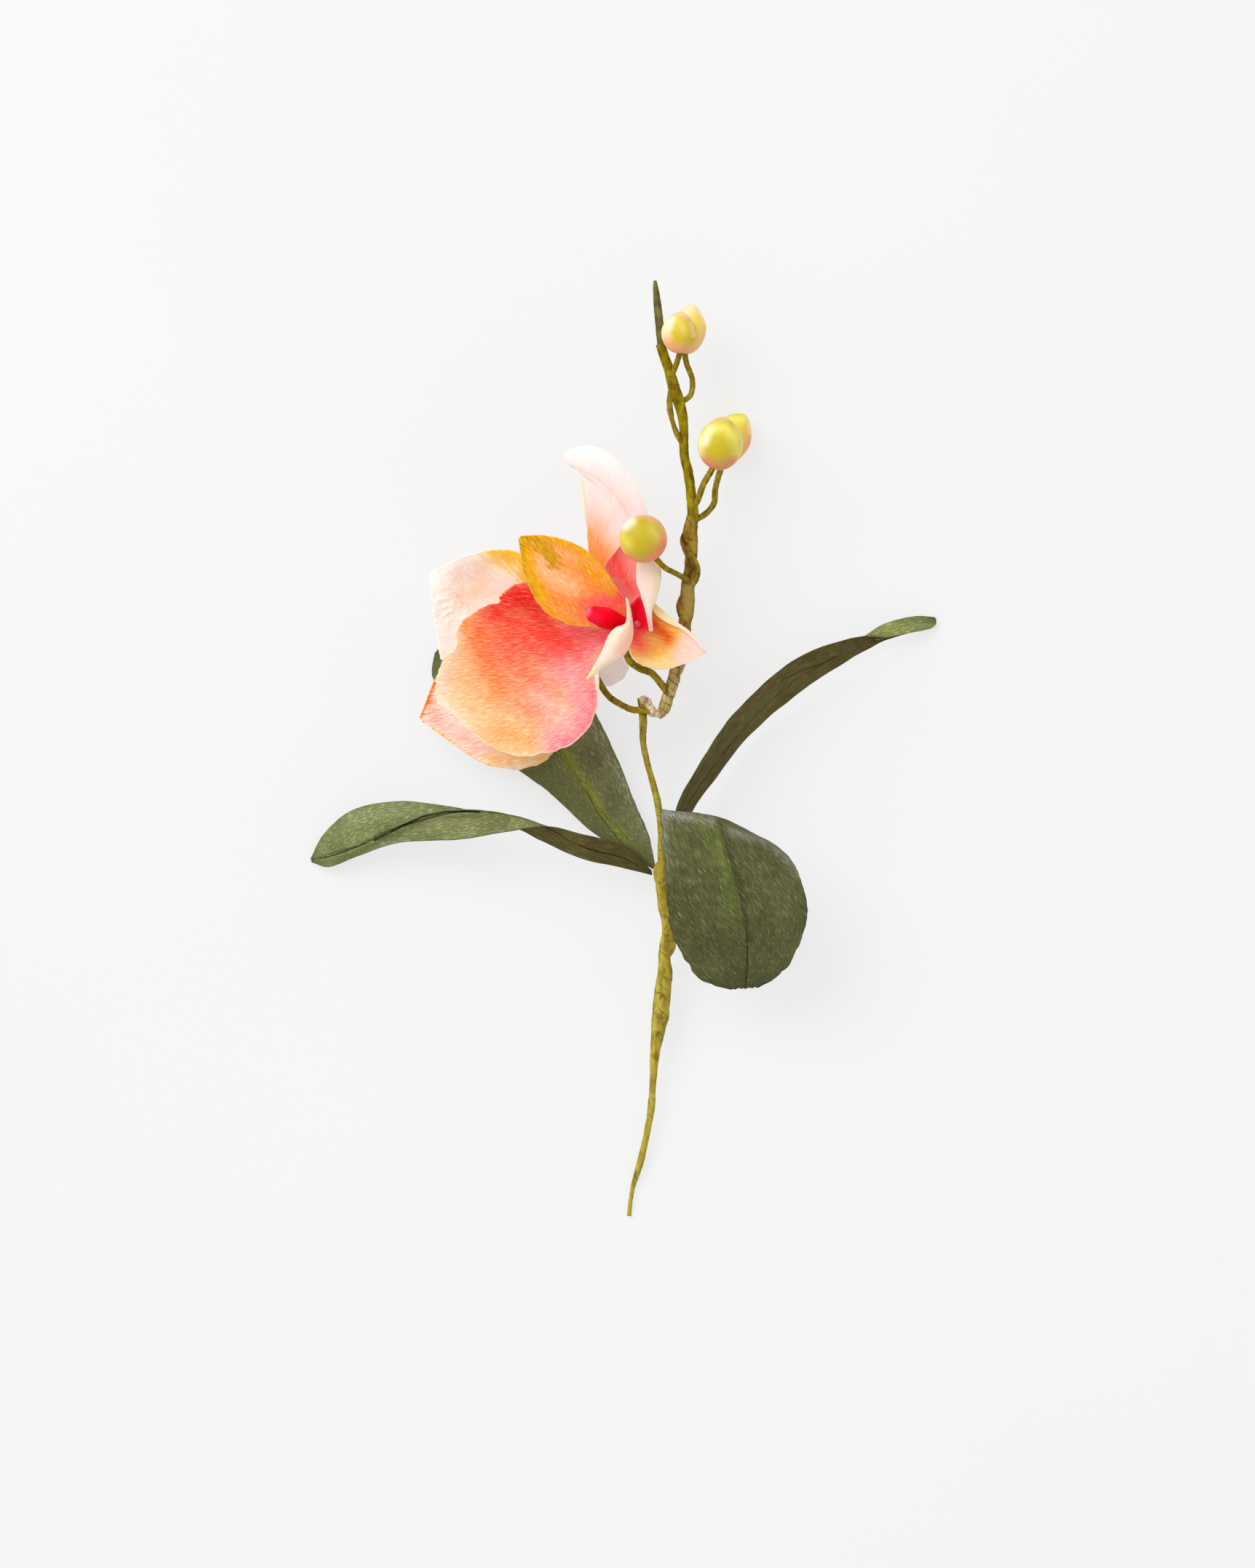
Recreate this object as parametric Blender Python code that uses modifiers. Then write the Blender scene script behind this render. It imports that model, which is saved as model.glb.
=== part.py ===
"""A moth orchid stem made of crepe paper on taped wire, lying on a table.

The stem runs along Y, its cut end at -Y and its tip at +Y. The blooms face up, +Z.
Every blade, a petal or a leaf, is a sheet laid over a few long curves: its two edges,
its rib and any rolled margin. All of the shape's numbers are in millimetres.
"""
import math

import bmesh
import bpy
from mathutils import Vector

MM = 0.001
PAPER = 0.8
CURVE_STEPS = 2
FRONT_KNOB = (-2.0, 40.6, 38.2)
BACK_KNOB = (-17.0, 37.0, 13.4)
LEAF_KNOT = (13.0, -42.0, 13.3)

LEAF_GREEN = (0.09, 0.13, 0.05)
STEM_OLIVE = (0.30, 0.25, 0.06)
TIP_GREEN = (0.09, 0.10, 0.04)
BUD_GREEN = (0.66, 0.60, 0.10)
HOT_PINK = (0.80, 0.10, 0.14)
CREAM_PINK = (0.95, 0.74, 0.62)
APRICOT = (0.90, 0.45, 0.12)
CRIMSON = (0.75, 0.01, 0.03)


def clear_scene():
    for thing in list(bpy.data.objects):
        bpy.data.objects.remove(thing, do_unlink=True)


def new_collection(name):
    group = bpy.data.collections.new(name)
    bpy.context.scene.collection.children.link(group)
    return group


def material(name, colour, roughness):
    made = bpy.data.materials.new(name)
    made.use_nodes = True
    shader = made.node_tree.nodes["Principled BSDF"]
    shader.inputs["Base Color"].default_value = (*colour, 1.0)
    shader.inputs["Roughness"].default_value = roughness
    shader.inputs["Metallic"].default_value = 0.0
    return made


def along(points, t):
    """The point at t, from 0 to 1, on the smooth curve through the points."""
    spans = len(points) - 1
    at = min(int(t * spans), spans - 1)
    f = t * spans - at
    p1 = Vector(points[at])
    p2 = Vector(points[at + 1])
    p0 = Vector(points[at - 1]) if at > 0 else p1 * 2 - p2
    p3 = Vector(points[at + 2]) if at + 2 <= spans else p2 * 2 - p1
    a = (p1 - p2) * 3 + p3 - p0
    b = p0 * 2 - p1 * 5 + p2 * 4 - p3
    return (a * f**3 + b * f**2 + (p2 - p0) * f + p1 * 2) / 2


def blade(name, colour, curves, rows=10, cols=6, wave=0.0, waves=3):
    """A sheet of paper through long curves that lie side by side, from base to tip."""
    bm = bmesh.new()
    bmesh.ops.create_grid(bm, x_segments=cols, y_segments=rows, size=1.0)
    for vert in bm.verts:
        across = (vert.co.x + 1) / 2
        length = (vert.co.y + 1) / 2
        ribs = [along(curve, length) for curve in curves]
        place = along(ribs, across)
        lift = wave * math.sin(waves * math.tau * length) * (2 * across - 1) ** 3
        vert.co = (place + Vector((0, 0, lift))) * MM
    bmesh.ops.triangulate(bm, faces=bm.faces)
    bmesh.ops.recalc_face_normals(bm, faces=bm.faces)
    sheet = bpy.data.meshes.new(name)
    bm.to_mesh(sheet)
    bm.free()
    sheet.shade_smooth()
    piece = bpy.data.objects.new(name, sheet)
    sheet.materials.append(material(name, colour, 0.8))
    PLANT.objects.link(piece)
    body = piece.modifiers.new("paper thickness", "SOLIDIFY")
    body.thickness = PAPER * MM
    body.offset = 0.0


def rod(name, route):
    """A taped wire as a closed mesh, along points (x, y, z, radius)."""
    steps = (len(route) - 1) * CURVE_STEPS
    places = [(Vector(p[:3]), p[3]) for p in route]
    line = bpy.data.curves.new(name, "CURVE")
    line.dimensions = "3D"
    line.bevel_depth = MM
    line.bevel_resolution = 2
    line.use_fill_caps = True
    spline = line.splines.new("POLY")
    spline.points.add(steps)
    for i, point in enumerate(spline.points):
        t = i / steps
        point.co = (*(along([p for p, _ in places], t) * MM), 1.0)
        point.radius = along([(r, 0, 0) for _, r in places], t).x
    guide = bpy.data.objects.new(name + " guide", line)
    bpy.context.scene.collection.objects.link(guide)
    bpy.context.view_layer.update()
    solid = bpy.data.meshes.new_from_object(guide.evaluated_get(bpy.context.evaluated_depsgraph_get()))
    bpy.data.objects.remove(guide, do_unlink=True)
    bm = bmesh.new()
    bm.from_mesh(solid)
    bmesh.ops.remove_doubles(bm, verts=bm.verts, dist=0.00001)
    bmesh.ops.triangulate(bm, faces=bm.faces)
    bmesh.ops.recalc_face_normals(bm, faces=bm.faces)
    bm.to_mesh(solid)
    bm.free()
    solid.name = name
    return bpy.data.objects.new(name, solid)


def ball(name, centre, radii, sides=12, rings=8, point=0.0, lean=(0, 0, 1)):
    """A bud or a knob: a sphere drawn out along lean, its far end pointed by point."""
    bm = bmesh.new()
    bmesh.ops.create_uvsphere(bm, u_segments=sides, v_segments=rings, radius=1.0)
    turn = Vector((0, 0, 1)).rotation_difference(Vector(lean)).to_matrix()
    for vert in bm.verts:
        taper = 1 - point * max(vert.co.z, 0) ** 2
        shape = Vector((vert.co.x * radii[0] * taper, vert.co.y * radii[1] * taper, vert.co.z * radii[2]))
        vert.co = (turn @ shape + Vector(centre)) * MM
    bmesh.ops.triangulate(bm, faces=bm.faces)
    mesh = bpy.data.meshes.new(name)
    bm.to_mesh(mesh)
    bm.free()
    return bpy.data.objects.new(name, mesh)


def union(base, others):
    """Join the others into base, as one closed body."""
    PLANT.objects.link(base)
    cutters = new_collection(base.name + " joined")
    for other in others:
        cutters.objects.link(other)
        other.hide_render = True
        other.display_type = "WIRE"
    join = base.modifiers.new("joined", "BOOLEAN")
    join.operation = "UNION"
    join.operand_type = "COLLECTION"
    join.collection = cutters
    bpy.context.view_layer.update()
    whole = bpy.data.meshes.new_from_object(base.evaluated_get(bpy.context.evaluated_depsgraph_get()))
    base.modifiers.clear()
    base.data = whole
    for other in others:
        bpy.data.objects.remove(other, do_unlink=True)
    bpy.data.collections.remove(cutters)


def stem():
    """Taped wire: lower stem, kink, upper stem, bud stalks and flower stalks in one body."""
    lower = [
        (1.6, -161.2, 0.8, 0.75),
        (2.7, -152.5, 1.6, 0.75),
        (5.4, -143.0, 2.6, 1.2),
        (7.5, -134.0, 3.7, 1.1),
        (9.2, -124.5, 4.9, 1.25),
        (9.8, -116.0, 5.8, 1.15),
        (10.5, -106.0, 6.8, 1.5),
        (11.5, -97.0, 7.8, 2.2),
        (12.8, -87.0, 8.8, 3.0),
        (14.0, -77.0, 9.8, 2.6),
        (15.0, -67.5, 10.8, 2.7),
        (15.0, -61.0, 11.3, 2.0),
        (13.6, -53.0, 12.2, 2.1),
        (13.2, -45.0, 13.0, 2.4),
        (13.1, -39.0, 13.6, 1.6),
        (12.6, -27.5, 14.8, 1.15),
        (11.2, -17.0, 16.0, 1.2),
        (8.3, -6.2, 17.0, 1.05),
        (6.5, 2.5, 18.0, 1.1),
        (6.5, 10.0, 18.8, 1.35),
        (6.0, 16.6, 19.4, 1.5),
    ]
    kink = [
        (5.6, 17.0, 19.6, 1.5),
        (7.6, 15.0, 20.2, 1.8),
        (10.0, 12.6, 20.8, 1.7),
        (12.4, 11.4, 21.2, 1.7),
    ]
    upper = [
        (12.0, 11.2, 21.2, 1.7),
        (14.0, 14.4, 21.4, 2.2),
        (15.0, 18.0, 21.6, 2.35),
        (16.6, 23.0, 21.8, 2.1),
        (18.3, 28.5, 22.0, 2.3),
        (20.3, 36.0, 22.2, 2.3),
        (21.0, 43.5, 22.5, 2.3),
        (20.4, 49.5, 22.8, 2.6),
        (22.2, 56.0, 23.0, 2.6),
        (23.4, 62.5, 23.2, 2.7),
        (22.5, 68.0, 23.4, 2.4),
        (22.2, 73.5, 23.6, 2.9),
        (23.7, 81.0, 23.8, 1.9),
        (23.0, 87.0, 24.0, 1.75),
        (22.1, 94.5, 24.2, 1.65),
        (20.6, 101.5, 24.4, 1.6),
        (20.5, 109.0, 24.6, 1.5),
        (19.8, 116.0, 24.8, 1.8),
        (17.4, 122.5, 25.0, 2.1),
        (15.2, 130.5, 25.2, 1.6),
        (12.6, 138.6, 25.4, 1.5),
    ]
    stalks = {
        "front flower stalk": [
            (14.6, 20.0, 22.5, 1.25),
            (9.6, 26.0, 26.5, 1.2),
            (5.6, 27.6, 29.5, 1.25),
            (2.0, 30.2, 32.0, 1.25),
            (0.0, 34.5, 33.8, 1.3),
            (-1.0, 39.5, 36.5, 1.5),
        ],
        "back flower stalk": [
            (10.0, 12.6, 21.6, 1.1),
            (6.4, 13.4, 22.2, 1.1),
            (2.8, 13.6, 21.4, 1.1),
            (-1.2, 15.4, 18.6, 1.1),
            (-4.6, 17.6, 15.8, 1.1),
            (-7.2, 20.6, 13.6, 1.1),
            (-9.6, 25.0, 12.6, 1.1),
            (-13.2, 31.0, 12.4, 1.2),
            (-16.6, 36.0, 13.2, 1.4),
        ],
        "near bud stalk": [
            (22.4, 57.6, 24.0, 1.1),
            (19.4, 59.4, 32.0, 0.95),
            (16.6, 60.8, 41.0, 0.95),
            (13.8, 62.2, 48.6, 0.95),
            (10.9, 65.2, 52.7, 1.0),
        ],
        "middle bud stalk": [
            (23.6, 82.5, 24.2, 1.1),
            (25.6, 86.6, 26.0, 1.1),
            (27.2, 91.0, 28.4, 1.1),
            (30.4, 95.6, 31.2, 1.1),
        ],
        "middle back bud stalk": [
            (23.2, 78.6, 23.6, 1.1),
            (27.4, 80.6, 20.2, 1.05),
            (30.8, 84.6, 15.2, 1.05),
            (32.0, 90.0, 10.4, 1.05),
            (34.1, 97.8, 6.7, 1.05),
        ],
        "top bud stalk": [
            (15.8, 127.5, 25.2, 1.0),
            (17.6, 131.6, 27.6, 0.95),
            (18.9, 135.6, 30.0, 1.0),
        ],
        "top back bud stalk": [
            (18.6, 119.0, 24.8, 1.0),
            (22.6, 121.6, 23.4, 0.95),
            (23.4, 127.0, 21.6, 0.95),
            (21.4, 133.0, 20.0, 0.95),
            (20.9, 136.5, 19.6, 1.0),
        ],
    }
    knobs = [
        ball("front knob", FRONT_KNOB, (3.1, 3.1, 3.1)),
        ball("back knob", BACK_KNOB, (2.8, 2.8, 2.8)),
        ball("leaf knot", LEAF_KNOT, (2.9, 3.4, 2.9)),
    ]
    body = rod("stem", lower)
    parts = [rod("kink", kink), rod("upper stem", upper)]
    parts += [rod(name, route) for name, route in stalks.items()]
    union(body, parts + knobs)
    body.data.materials.clear()
    body.data.materials.append(material("stem tape", STEM_OLIVE, 0.7))


def stem_tip():
    """The dark tapered end piece, taped on past the cut corner of the stem."""
    tip = rod(
        "stem_tip",
        [
            (12.2, 139.5, 25.5, 1.35),
            (11.9, 146.0, 25.6, 1.4),
            (11.1, 154.0, 25.4, 1.05),
            (10.5, 161.2, 25.2, 0.55),
        ],
    )
    tip.data.materials.append(material("dark tape", TIP_GREEN, 0.8))
    PLANT.objects.link(tip)


def buds():
    """Five moulded buds, each on its own stalk."""
    made = {
        "bud_near": ((6.4, 72.0, 57.0), (8.1, 8.1, 8.6), 0.12, (-0.35, 0.55, 0.75)),
        "bud_middle": ((33.0, 105.0, 33.6), (7.8, 7.4, 9.0), 0.30, (0.1, 0.97, 0.1)),
        "bud_middle_back": ((37.4, 106.6, 6.1), (6.0, 6.0, 8.6), 0.40, (0.38, 0.9, -0.1)),
        "bud_top": ((19.0, 143.4, 31.8), (6.0, 5.6, 7.0), 0.35, (0.1, 0.98, 0.1)),
        "bud_top_back": ((22.2, 144.8, 20.2), (5.2, 5.0, 7.8), 0.55, (0.15, 0.98, 0.0)),
    }
    for name, (centre, radii, point, lean) in made.items():
        bud = ball(name, centre, radii, sides=14, rings=10, point=point, lean=lean)
        bud.data.materials.append(material(name, BUD_GREEN, 0.45))
        PLANT.objects.link(bud)


def leaves():
    blade(
        "leaf_left",
        LEAF_GREEN,
        [
            [
                (9.6, -43.4, 13.4), (-1.0, -40.8, 14.0), (-14.5, -37.8, 15.5), (-27.5, -32.0, 15.5),
                (-40.0, -26.0, 15.0), (-56.5, -20.5, 15.5), (-77.0, -17.8, 15.5), (-93.0, -20.4, 12.0),
                (-103.5, -29.0, 6.5), (-108.2, -37.6, 2.2),
            ],
            [
                (9.5, -42.6, 13.8), (-0.6, -37.5, 16.0), (-14.5, -33.5, 18.7), (-27.5, -26.4, 20.4),
                (-40.5, -22.4, 20.1), (-56.5, -21.4, 17.6), (-77.5, -27.0, 13.6), (-91.5, -33.5, 9.6),
                (-102.0, -37.2, 5.1), (-108.4, -38.2, 1.8),
            ],
            [
                (9.4, -41.8, 14.2), (0.6, -33.6, 18.4), (-14.5, -29.2, 22.5), (-27.5, -26.6, 24.0),
                (-40.5, -28.6, 21.5), (-56.5, -31.2, 17.6), (-77.0, -32.3, 13.4), (-91.0, -36.6, 8.8),
                (-101.5, -40.6, 4.5), (-108.0, -38.9, 1.6),
            ],
        ],
        rows=18,
        cols=6,
    )
    blade(
        "leaf_back",
        LEAF_GREEN,
        [
            [
                (9.9, -41.4, 11.6), (-10.6, -29.0, 7.6), (-25.2, -15.6, 5.4), (-37.0, -7.0, 4.0),
                (-50.0, 4.6, 2.6), (-60.4, 15.0, 1.7), (-66.4, 25.0, 1.0), (-65.4, 33.6, 0.6),
            ],
            [
                (10.2, -40.6, 11.4), (0.5, -30.0, 7.8), (-9.5, -19.5, 5.2), (-19.5, -5.0, 3.6),
                (-31.0, 10.0, 2.2), (-43.0, 22.0, 1.3), (-55.0, 30.0, 0.8), (-64.6, 35.0, 0.5),
            ],
            [
                (10.6, -39.9, 11.6), (8.6, -29.8, 8.8), (3.8, -18.4, 7.0), (-2.6, -2.0, 5.6),
                (-11.0, 14.0, 4.2), (-26.0, 30.0, 3.0), (-45.0, 38.6, 1.8), (-63.4, 36.4, 0.8),
            ],
        ],
        rows=14,
        cols=6,
    )
    blade(
        "leaf_right",
        LEAF_GREEN,
        [
            [
                (15.6, -39.3, 14.9), (18.0, -20.0, 19.5), (25.2, -6.2, 21.5), (36.4, 10.8, 22.5),
                (52.0, 26.0, 21.0), (66.0, 35.0, 17.5), (83.0, 39.0, 11.0), (94.0, 38.2, 6.0),
                (103.0, 40.6, 2.4), (107.4, 43.0, 0.9),
            ],
            [
                (15.9, -39.6, 14.3), (20.0, -22.0, 13.0), (28.4, -8.4, 13.0), (40.4, 7.6, 13.0),
                (55.4, 22.0, 12.6), (69.4, 31.4, 11.0), (84.0, 38.4, 8.4), (95.5, 43.0, 5.4),
                (103.6, 43.2, 2.4), (107.8, 43.8, 0.8),
            ],
            [
                (16.2, -40.0, 13.7), (22.4, -22.6, 7.6), (32.0, -7.6, 5.6), (43.6, 7.0, 4.6),
                (58.0, 19.6, 4.4), (71.0, 29.0, 4.6), (83.6, 36.6, 5.2), (95.0, 45.0, 4.0),
                (103.4, 45.6, 1.8), (107.6, 44.6, 0.7),
            ],
        ],
        rows=18,
        cols=6,
    )
    blade(
        "leaf_front",
        LEAF_GREEN,
        [
            [
                (13.2, -39.2, 16.9), (13.0, -31.0, 26.0), (13.6, -22.6, 35.0), (13.6, -27.5, 41.5),
                (14.6, -40.0, 43.0), (16.2, -56.0, 39.5), (20.6, -68.4, 34.0), (27.6, -80.0, 27.5),
                (37.6, -82.6, 23.0),
            ],
            [
                (14.0, -39.6, 16.5), (20.0, -30.0, 26.0), (28.0, -23.8, 35.0), (33.4, -25.4, 40.5),
                (37.0, -40.0, 41.0), (39.8, -54.0, 37.5), (42.0, -67.0, 32.5), (42.2, -77.0, 27.0),
                (41.6, -82.8, 22.6),
            ],
            [
                (14.8, -39.9, 16.1), (27.0, -32.0, 25.0), (42.0, -27.6, 32.5), (53.0, -33.4, 37.0),
                (60.0, -42.0, 38.0), (63.2, -55.0, 35.5), (60.6, -66.8, 32.0), (55.0, -76.4, 28.0),
                (45.6, -82.4, 22.8),
            ],
        ],
        rows=16,
        cols=8,
        wave=0.5,
        waves=4,
    )


def front_bloom():
    """The bloom nearer the camera, round the front knob."""
    blade(
        "front_petal_left",
        HOT_PINK,
        [
            [
                (-5.5, 41.2, 38.2), (-14.5, 51.5, 36.0), (-29.5, 57.0, 36.5), (-43.5, 52.0, 37.0),
                (-57.0, 40.5, 35.5), (-62.6, 30.0, 33.8),
            ],
            [
                (-5.5, 39.8, 38.0), (-16.5, 36.0, 31.5), (-29.5, 31.0, 27.5), (-41.5, 27.0, 26.5),
                (-53.5, 23.5, 28.5), (-64.8, 21.6, 33.0),
            ],
            [
                (-5.2, 38.4, 38.2), (-9.4, 25.0, 36.5), (-11.4, 9.0, 37.0), (-27.0, -2.4, 35.5),
                (-47.0, 0.5, 33.0), (-62.6, 13.6, 32.5),
            ],
        ],
        rows=11,
        cols=9,
        wave=0.5,
        waves=3,
    )
    blade(
        "front_sepal_top",
        APRICOT,
        [
            [
                (-2.9, 44.2, 40.0), (-6.0, 57.0, 44.0), (-14.5, 68.6, 48.5),
                (-25.5, 72.2, 51.0), (-35.4, 73.0, 49.5),
            ],
            [
                (-3.8, 43.7, 39.6), (-11.5, 51.4, 41.6), (-20.2, 58.4, 44.5),
                (-28.4, 65.6, 47.5), (-35.9, 72.6, 49.2),
            ],
            [
                (-4.8, 43.0, 40.0), (-17.2, 42.2, 43.0), (-28.2, 48.0, 46.5),
                (-34.0, 59.2, 48.8), (-36.3, 72.2, 49.4),
            ],
        ],
        rows=9,
        cols=6,
    )
    blade(
        "front_petal_right",
        HOT_PINK,
        [
            [
                (-1.6, 44.6, 38.6), (-2.2, 50.0, 39.8), (-2.8, 56.0, 41.1),
                (-5.2, 62.2, 42.0), (-2.0, 68.4, 42.9), (2.6, 76.4, 45.4),
            ],
            [
                (-0.6, 44.3, 38.2), (1.4, 49.4, 39.0), (2.0, 56.0, 39.1),
                (1.6, 63.6, 40.0), (2.6, 70.4, 41.7), (4.0, 77.4, 45.0),
            ],
            [
                (0.4, 43.8, 38.2), (6.4, 48.2, 40.0), (8.6, 54.8, 39.7),
                (9.2, 62.0, 40.2), (8.6, 70.0, 41.3), (5.8, 77.8, 45.0),
            ],
            [
                (1.2, 43.2, 38.8), (9.2, 46.4, 42.4), (11.8, 53.6, 43.9),
                (12.2, 61.0, 44.4), (11.0, 68.8, 43.9), (7.6, 77.6, 45.6),
            ],
            [
                (1.8, 42.6, 39.6), (8.2, 42.4, 45.4), (7.0, 51.0, 47.3),
                (4.6, 60.6, 47.6), (5.4, 68.0, 46.5), (8.4, 76.8, 46.4),
            ],
        ],
        rows=10,
        cols=9,
    )
    blade(
        "front_sepal_right",
        APRICOT,
        [
            [
                (2.2, 41.0, 38.0), (8.0, 45.6, 38.2), (12.2, 45.2, 40.6),
                (17.6, 42.4, 39.4), (27.4, 34.0, 36.6),
            ],
            [
                (2.0, 40.6, 37.2), (7.6, 45.2, 35.8), (13.6, 47.4, 38.0),
                (21.0, 41.4, 38.0), (27.8, 33.6, 36.2),
            ],
            [
                (1.8, 39.2, 36.6), (6.4, 38.6, 34.8), (12.4, 37.0, 34.4),
                (20.2, 34.8, 34.8), (28.2, 33.0, 36.0),
            ],
            [
                (1.4, 37.8, 36.8), (2.6, 31.4, 35.8), (9.0, 27.4, 35.4),
                (19.2, 28.4, 35.4), (27.6, 32.4, 36.2),
            ],
        ],
        rows=9,
        cols=7,
    )
    blade(
        "front_sepal_left",
        CREAM_PINK,
        [
            [(-4.8, 38.6, 36.2), (-15.0, 26.0, 28.6), (-24.6, 14.0, 25.4), (-25.4, 4.6, 24.6)],
            [(-4.0, 38.0, 36.0), (-10.8, 23.6, 28.4), (-18.6, 11.0, 25.0), (-24.8, 4.2, 24.4)],
            [(-3.3, 37.4, 35.8), (-7.8, 21.6, 29.4), (-12.4, 8.0, 26.4), (-24.0, 3.8, 24.6)],
        ],
        rows=8,
        cols=4,
    )
    blade(
        "front_lip",
        CREAM_PINK,
        [
            [
                (4.0, 52.0, 48.0), (7.0, 45.0, 46.8), (5.6, 39.6, 45.6),
                (0.2, 35.0, 45.2), (-12.4, 24.6, 47.2),
            ],
            [
                (2.6, 52.0, 47.8), (3.6, 42.8, 44.8), (0.8, 37.2, 43.6),
                (-4.0, 32.6, 44.2), (-12.8, 24.9, 46.8),
            ],
            [
                (1.2, 52.2, 48.4), (-1.2, 43.6, 50.6), (-5.8, 38.4, 47.6),
                (-9.2, 32.0, 46.6), (-13.2, 25.2, 46.8),
            ],
            [
                (1.2, 53.0, 50.0), (2.8, 45.6, 53.8), (2.0, 39.4, 53.0),
                (-3.2, 32.4, 51.4), (-13.0, 25.8, 47.6),
            ],
        ],
        rows=10,
        cols=7,
    )
    column(
        "front_column",
        [
            (-0.2, 41.8, 42.8, 1.8),
            (-3.0, 44.2, 44.4, 2.7),
            (-7.0, 45.8, 46.8, 3.4),
            (-11.2, 47.0, 48.4, 3.6),
        ],
    )


def column(name, route):
    """The rod of the bloom's column with a rounded end."""
    end = Vector(route[-1][:3])
    way = end - Vector(route[-2][:3])
    rod_body = rod(name, route)
    radius = route[-1][3]
    cap = ball(name + " end", end, (radius, radius, radius * 0.6), sides=8, rings=6, lean=way)
    union(rod_body, [cap])
    rod_body.data.materials.clear()
    rod_body.data.materials.append(material(name, CRIMSON, 0.5))


def back_bloom():
    """The bloom behind, round the back knob."""
    blade(
        "back_petal_left",
        CREAM_PINK,
        [
            [
                (-18.6, 40.2, 14.6), (-23.0, 58.0, 18.5), (-36.0, 68.0, 20.5),
                (-52.0, 67.6, 21.0), (-67.6, 60.8, 19.0),
            ],
            [
                (-20.0, 38.8, 14.0), (-31.0, 44.6, 11.2), (-43.0, 49.4, 10.4),
                (-55.0, 51.4, 12.4), (-66.2, 48.0, 16.5),
            ],
            [
                (-20.6, 37.4, 14.2), (-33.0, 30.6, 13.0), (-45.5, 27.4, 12.4),
                (-56.0, 27.6, 13.4), (-63.6, 31.0, 16.5),
            ],
        ],
        rows=10,
        cols=8,
        wave=0.4,
        waves=2,
    )
    blade(
        "back_sepal_left",
        CREAM_PINK,
        [
            [
                (-20.0, 35.2, 12.4), (-33.2, 32.4, 9.0), (-48.2, 30.4, 7.4),
                (-63.0, 27.4, 9.0), (-70.4, 11.4, 12.5),
            ],
            [
                (-18.8, 34.0, 12.2), (-28.4, 21.4, 8.0), (-41.0, 13.8, 6.8),
                (-54.8, 10.8, 8.2), (-70.6, 10.6, 12.4),
            ],
            [
                (-17.4, 33.4, 12.4), (-19.4, 10.0, 11.6), (-28.4, -5.2, 12.4),
                (-47.0, -5.6, 12.4), (-70.2, 9.8, 12.6),
            ],
        ],
        rows=11,
        cols=8,
        wave=0.4,
        waves=3,
    )
    blade(
        "back_petal_top",
        CREAM_PINK,
        [
            [
                (-17.6, 40.6, 15.0), (-11.6, 57.0, 19.4), (-13.0, 72.6, 25.0),
                (-14.0, 85.0, 30.1), (-15.8, 95.4, 34.1), (-20.4, 99.6, 35.9),
            ],
            [
                (-16.7, 40.5, 14.4), (-5.0, 57.6, 18.4), (-5.0, 73.6, 23.6),
                (-8.0, 87.0, 28.9), (-12.0, 96.8, 33.3), (-20.8, 100.2, 35.5),
            ],
            [
                (-15.6, 40.5, 14.6), (2.4, 57.6, 18.6), (3.2, 73.8, 23.6),
                (0.6, 88.4, 28.9), (-5.0, 98.2, 33.3), (-21.0, 100.8, 35.5),
            ],
            [
                (-14.8, 40.1, 15.0), (6.6, 58.0, 20.4), (8.6, 73.6, 26.4),
                (6.4, 85.4, 31.5), (1.4, 94.4, 35.5), (-20.8, 101.4, 35.9),
            ],
            [
                (-14.4, 39.6, 15.6), (4.4, 60.0, 23.0), (3.4, 75.2, 29.4),
                (0.6, 82.4, 33.9), (-4.2, 89.6, 37.5), (-20.0, 100.4, 36.9),
            ],
        ],
        rows=12,
        cols=9,
    )
    blade(
        "back_sepal_right",
        CREAM_PINK,
        [
            [(-13.8, 38.4, 12.6), (-8.0, 35.4, 10.4), (-2.0, 33.0, 9.0), (1.8, 28.6, 8.4)],
            [(-13.6, 37.0, 12.0), (-8.6, 31.6, 9.4), (-3.8, 28.6, 8.2), (1.0, 26.4, 7.8)],
            [(-14.2, 35.4, 10.4), (-10.6, 27.0, 8.2), (-6.4, 21.6, 7.4), (-0.4, 24.0, 7.6)],
        ],
        rows=8,
        cols=5,
    )
    blade(
        "back_lip",
        CREAM_PINK,
        [
            [(-18.0, 35.4, 16.6), (-22.0, 30.6, 18.6), (-28.0, 26.6, 20.4), (-33.6, 25.8, 20.6)],
            [(-19.0, 36.2, 16.0), (-23.4, 33.6, 16.6), (-29.4, 30.6, 18.2), (-34.0, 27.0, 20.2)],
            [(-20.0, 37.2, 16.6), (-25.4, 37.4, 18.6), (-31.4, 34.6, 20.0), (-34.4, 28.2, 20.6)],
        ],
        rows=7,
        cols=5,
    )
    column(
        "back_column",
        [
            (-18.3, 38.2, 17.5, 1.6),
            (-21.4, 39.8, 19.2, 2.4),
            (-25.0, 41.0, 21.4, 2.9),
            (-28.4, 41.8, 23.2, 3.1),
        ],
    )


clear_scene()
PLANT = new_collection("moth orchid stem")
stem()
stem_tip()
buds()
leaves()
front_bloom()
back_bloom()
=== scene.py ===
"""The looks of a moth orchid stem made of dyed crepe paper, lying on a pale table.

The camera looks straight down. Every petal and leaf is a thin sheet of crepe laid over
the same curves as its solid, then nicked at its edges, fluted and crumpled. Its dye is
brushed on as strokes, and so are some painted shade and painted highlights. All places and
sizes are in millimetres, apart from the lights'.
"""
import math
from collections import namedtuple

import bmesh
import bpy
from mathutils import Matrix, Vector, noise


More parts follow.
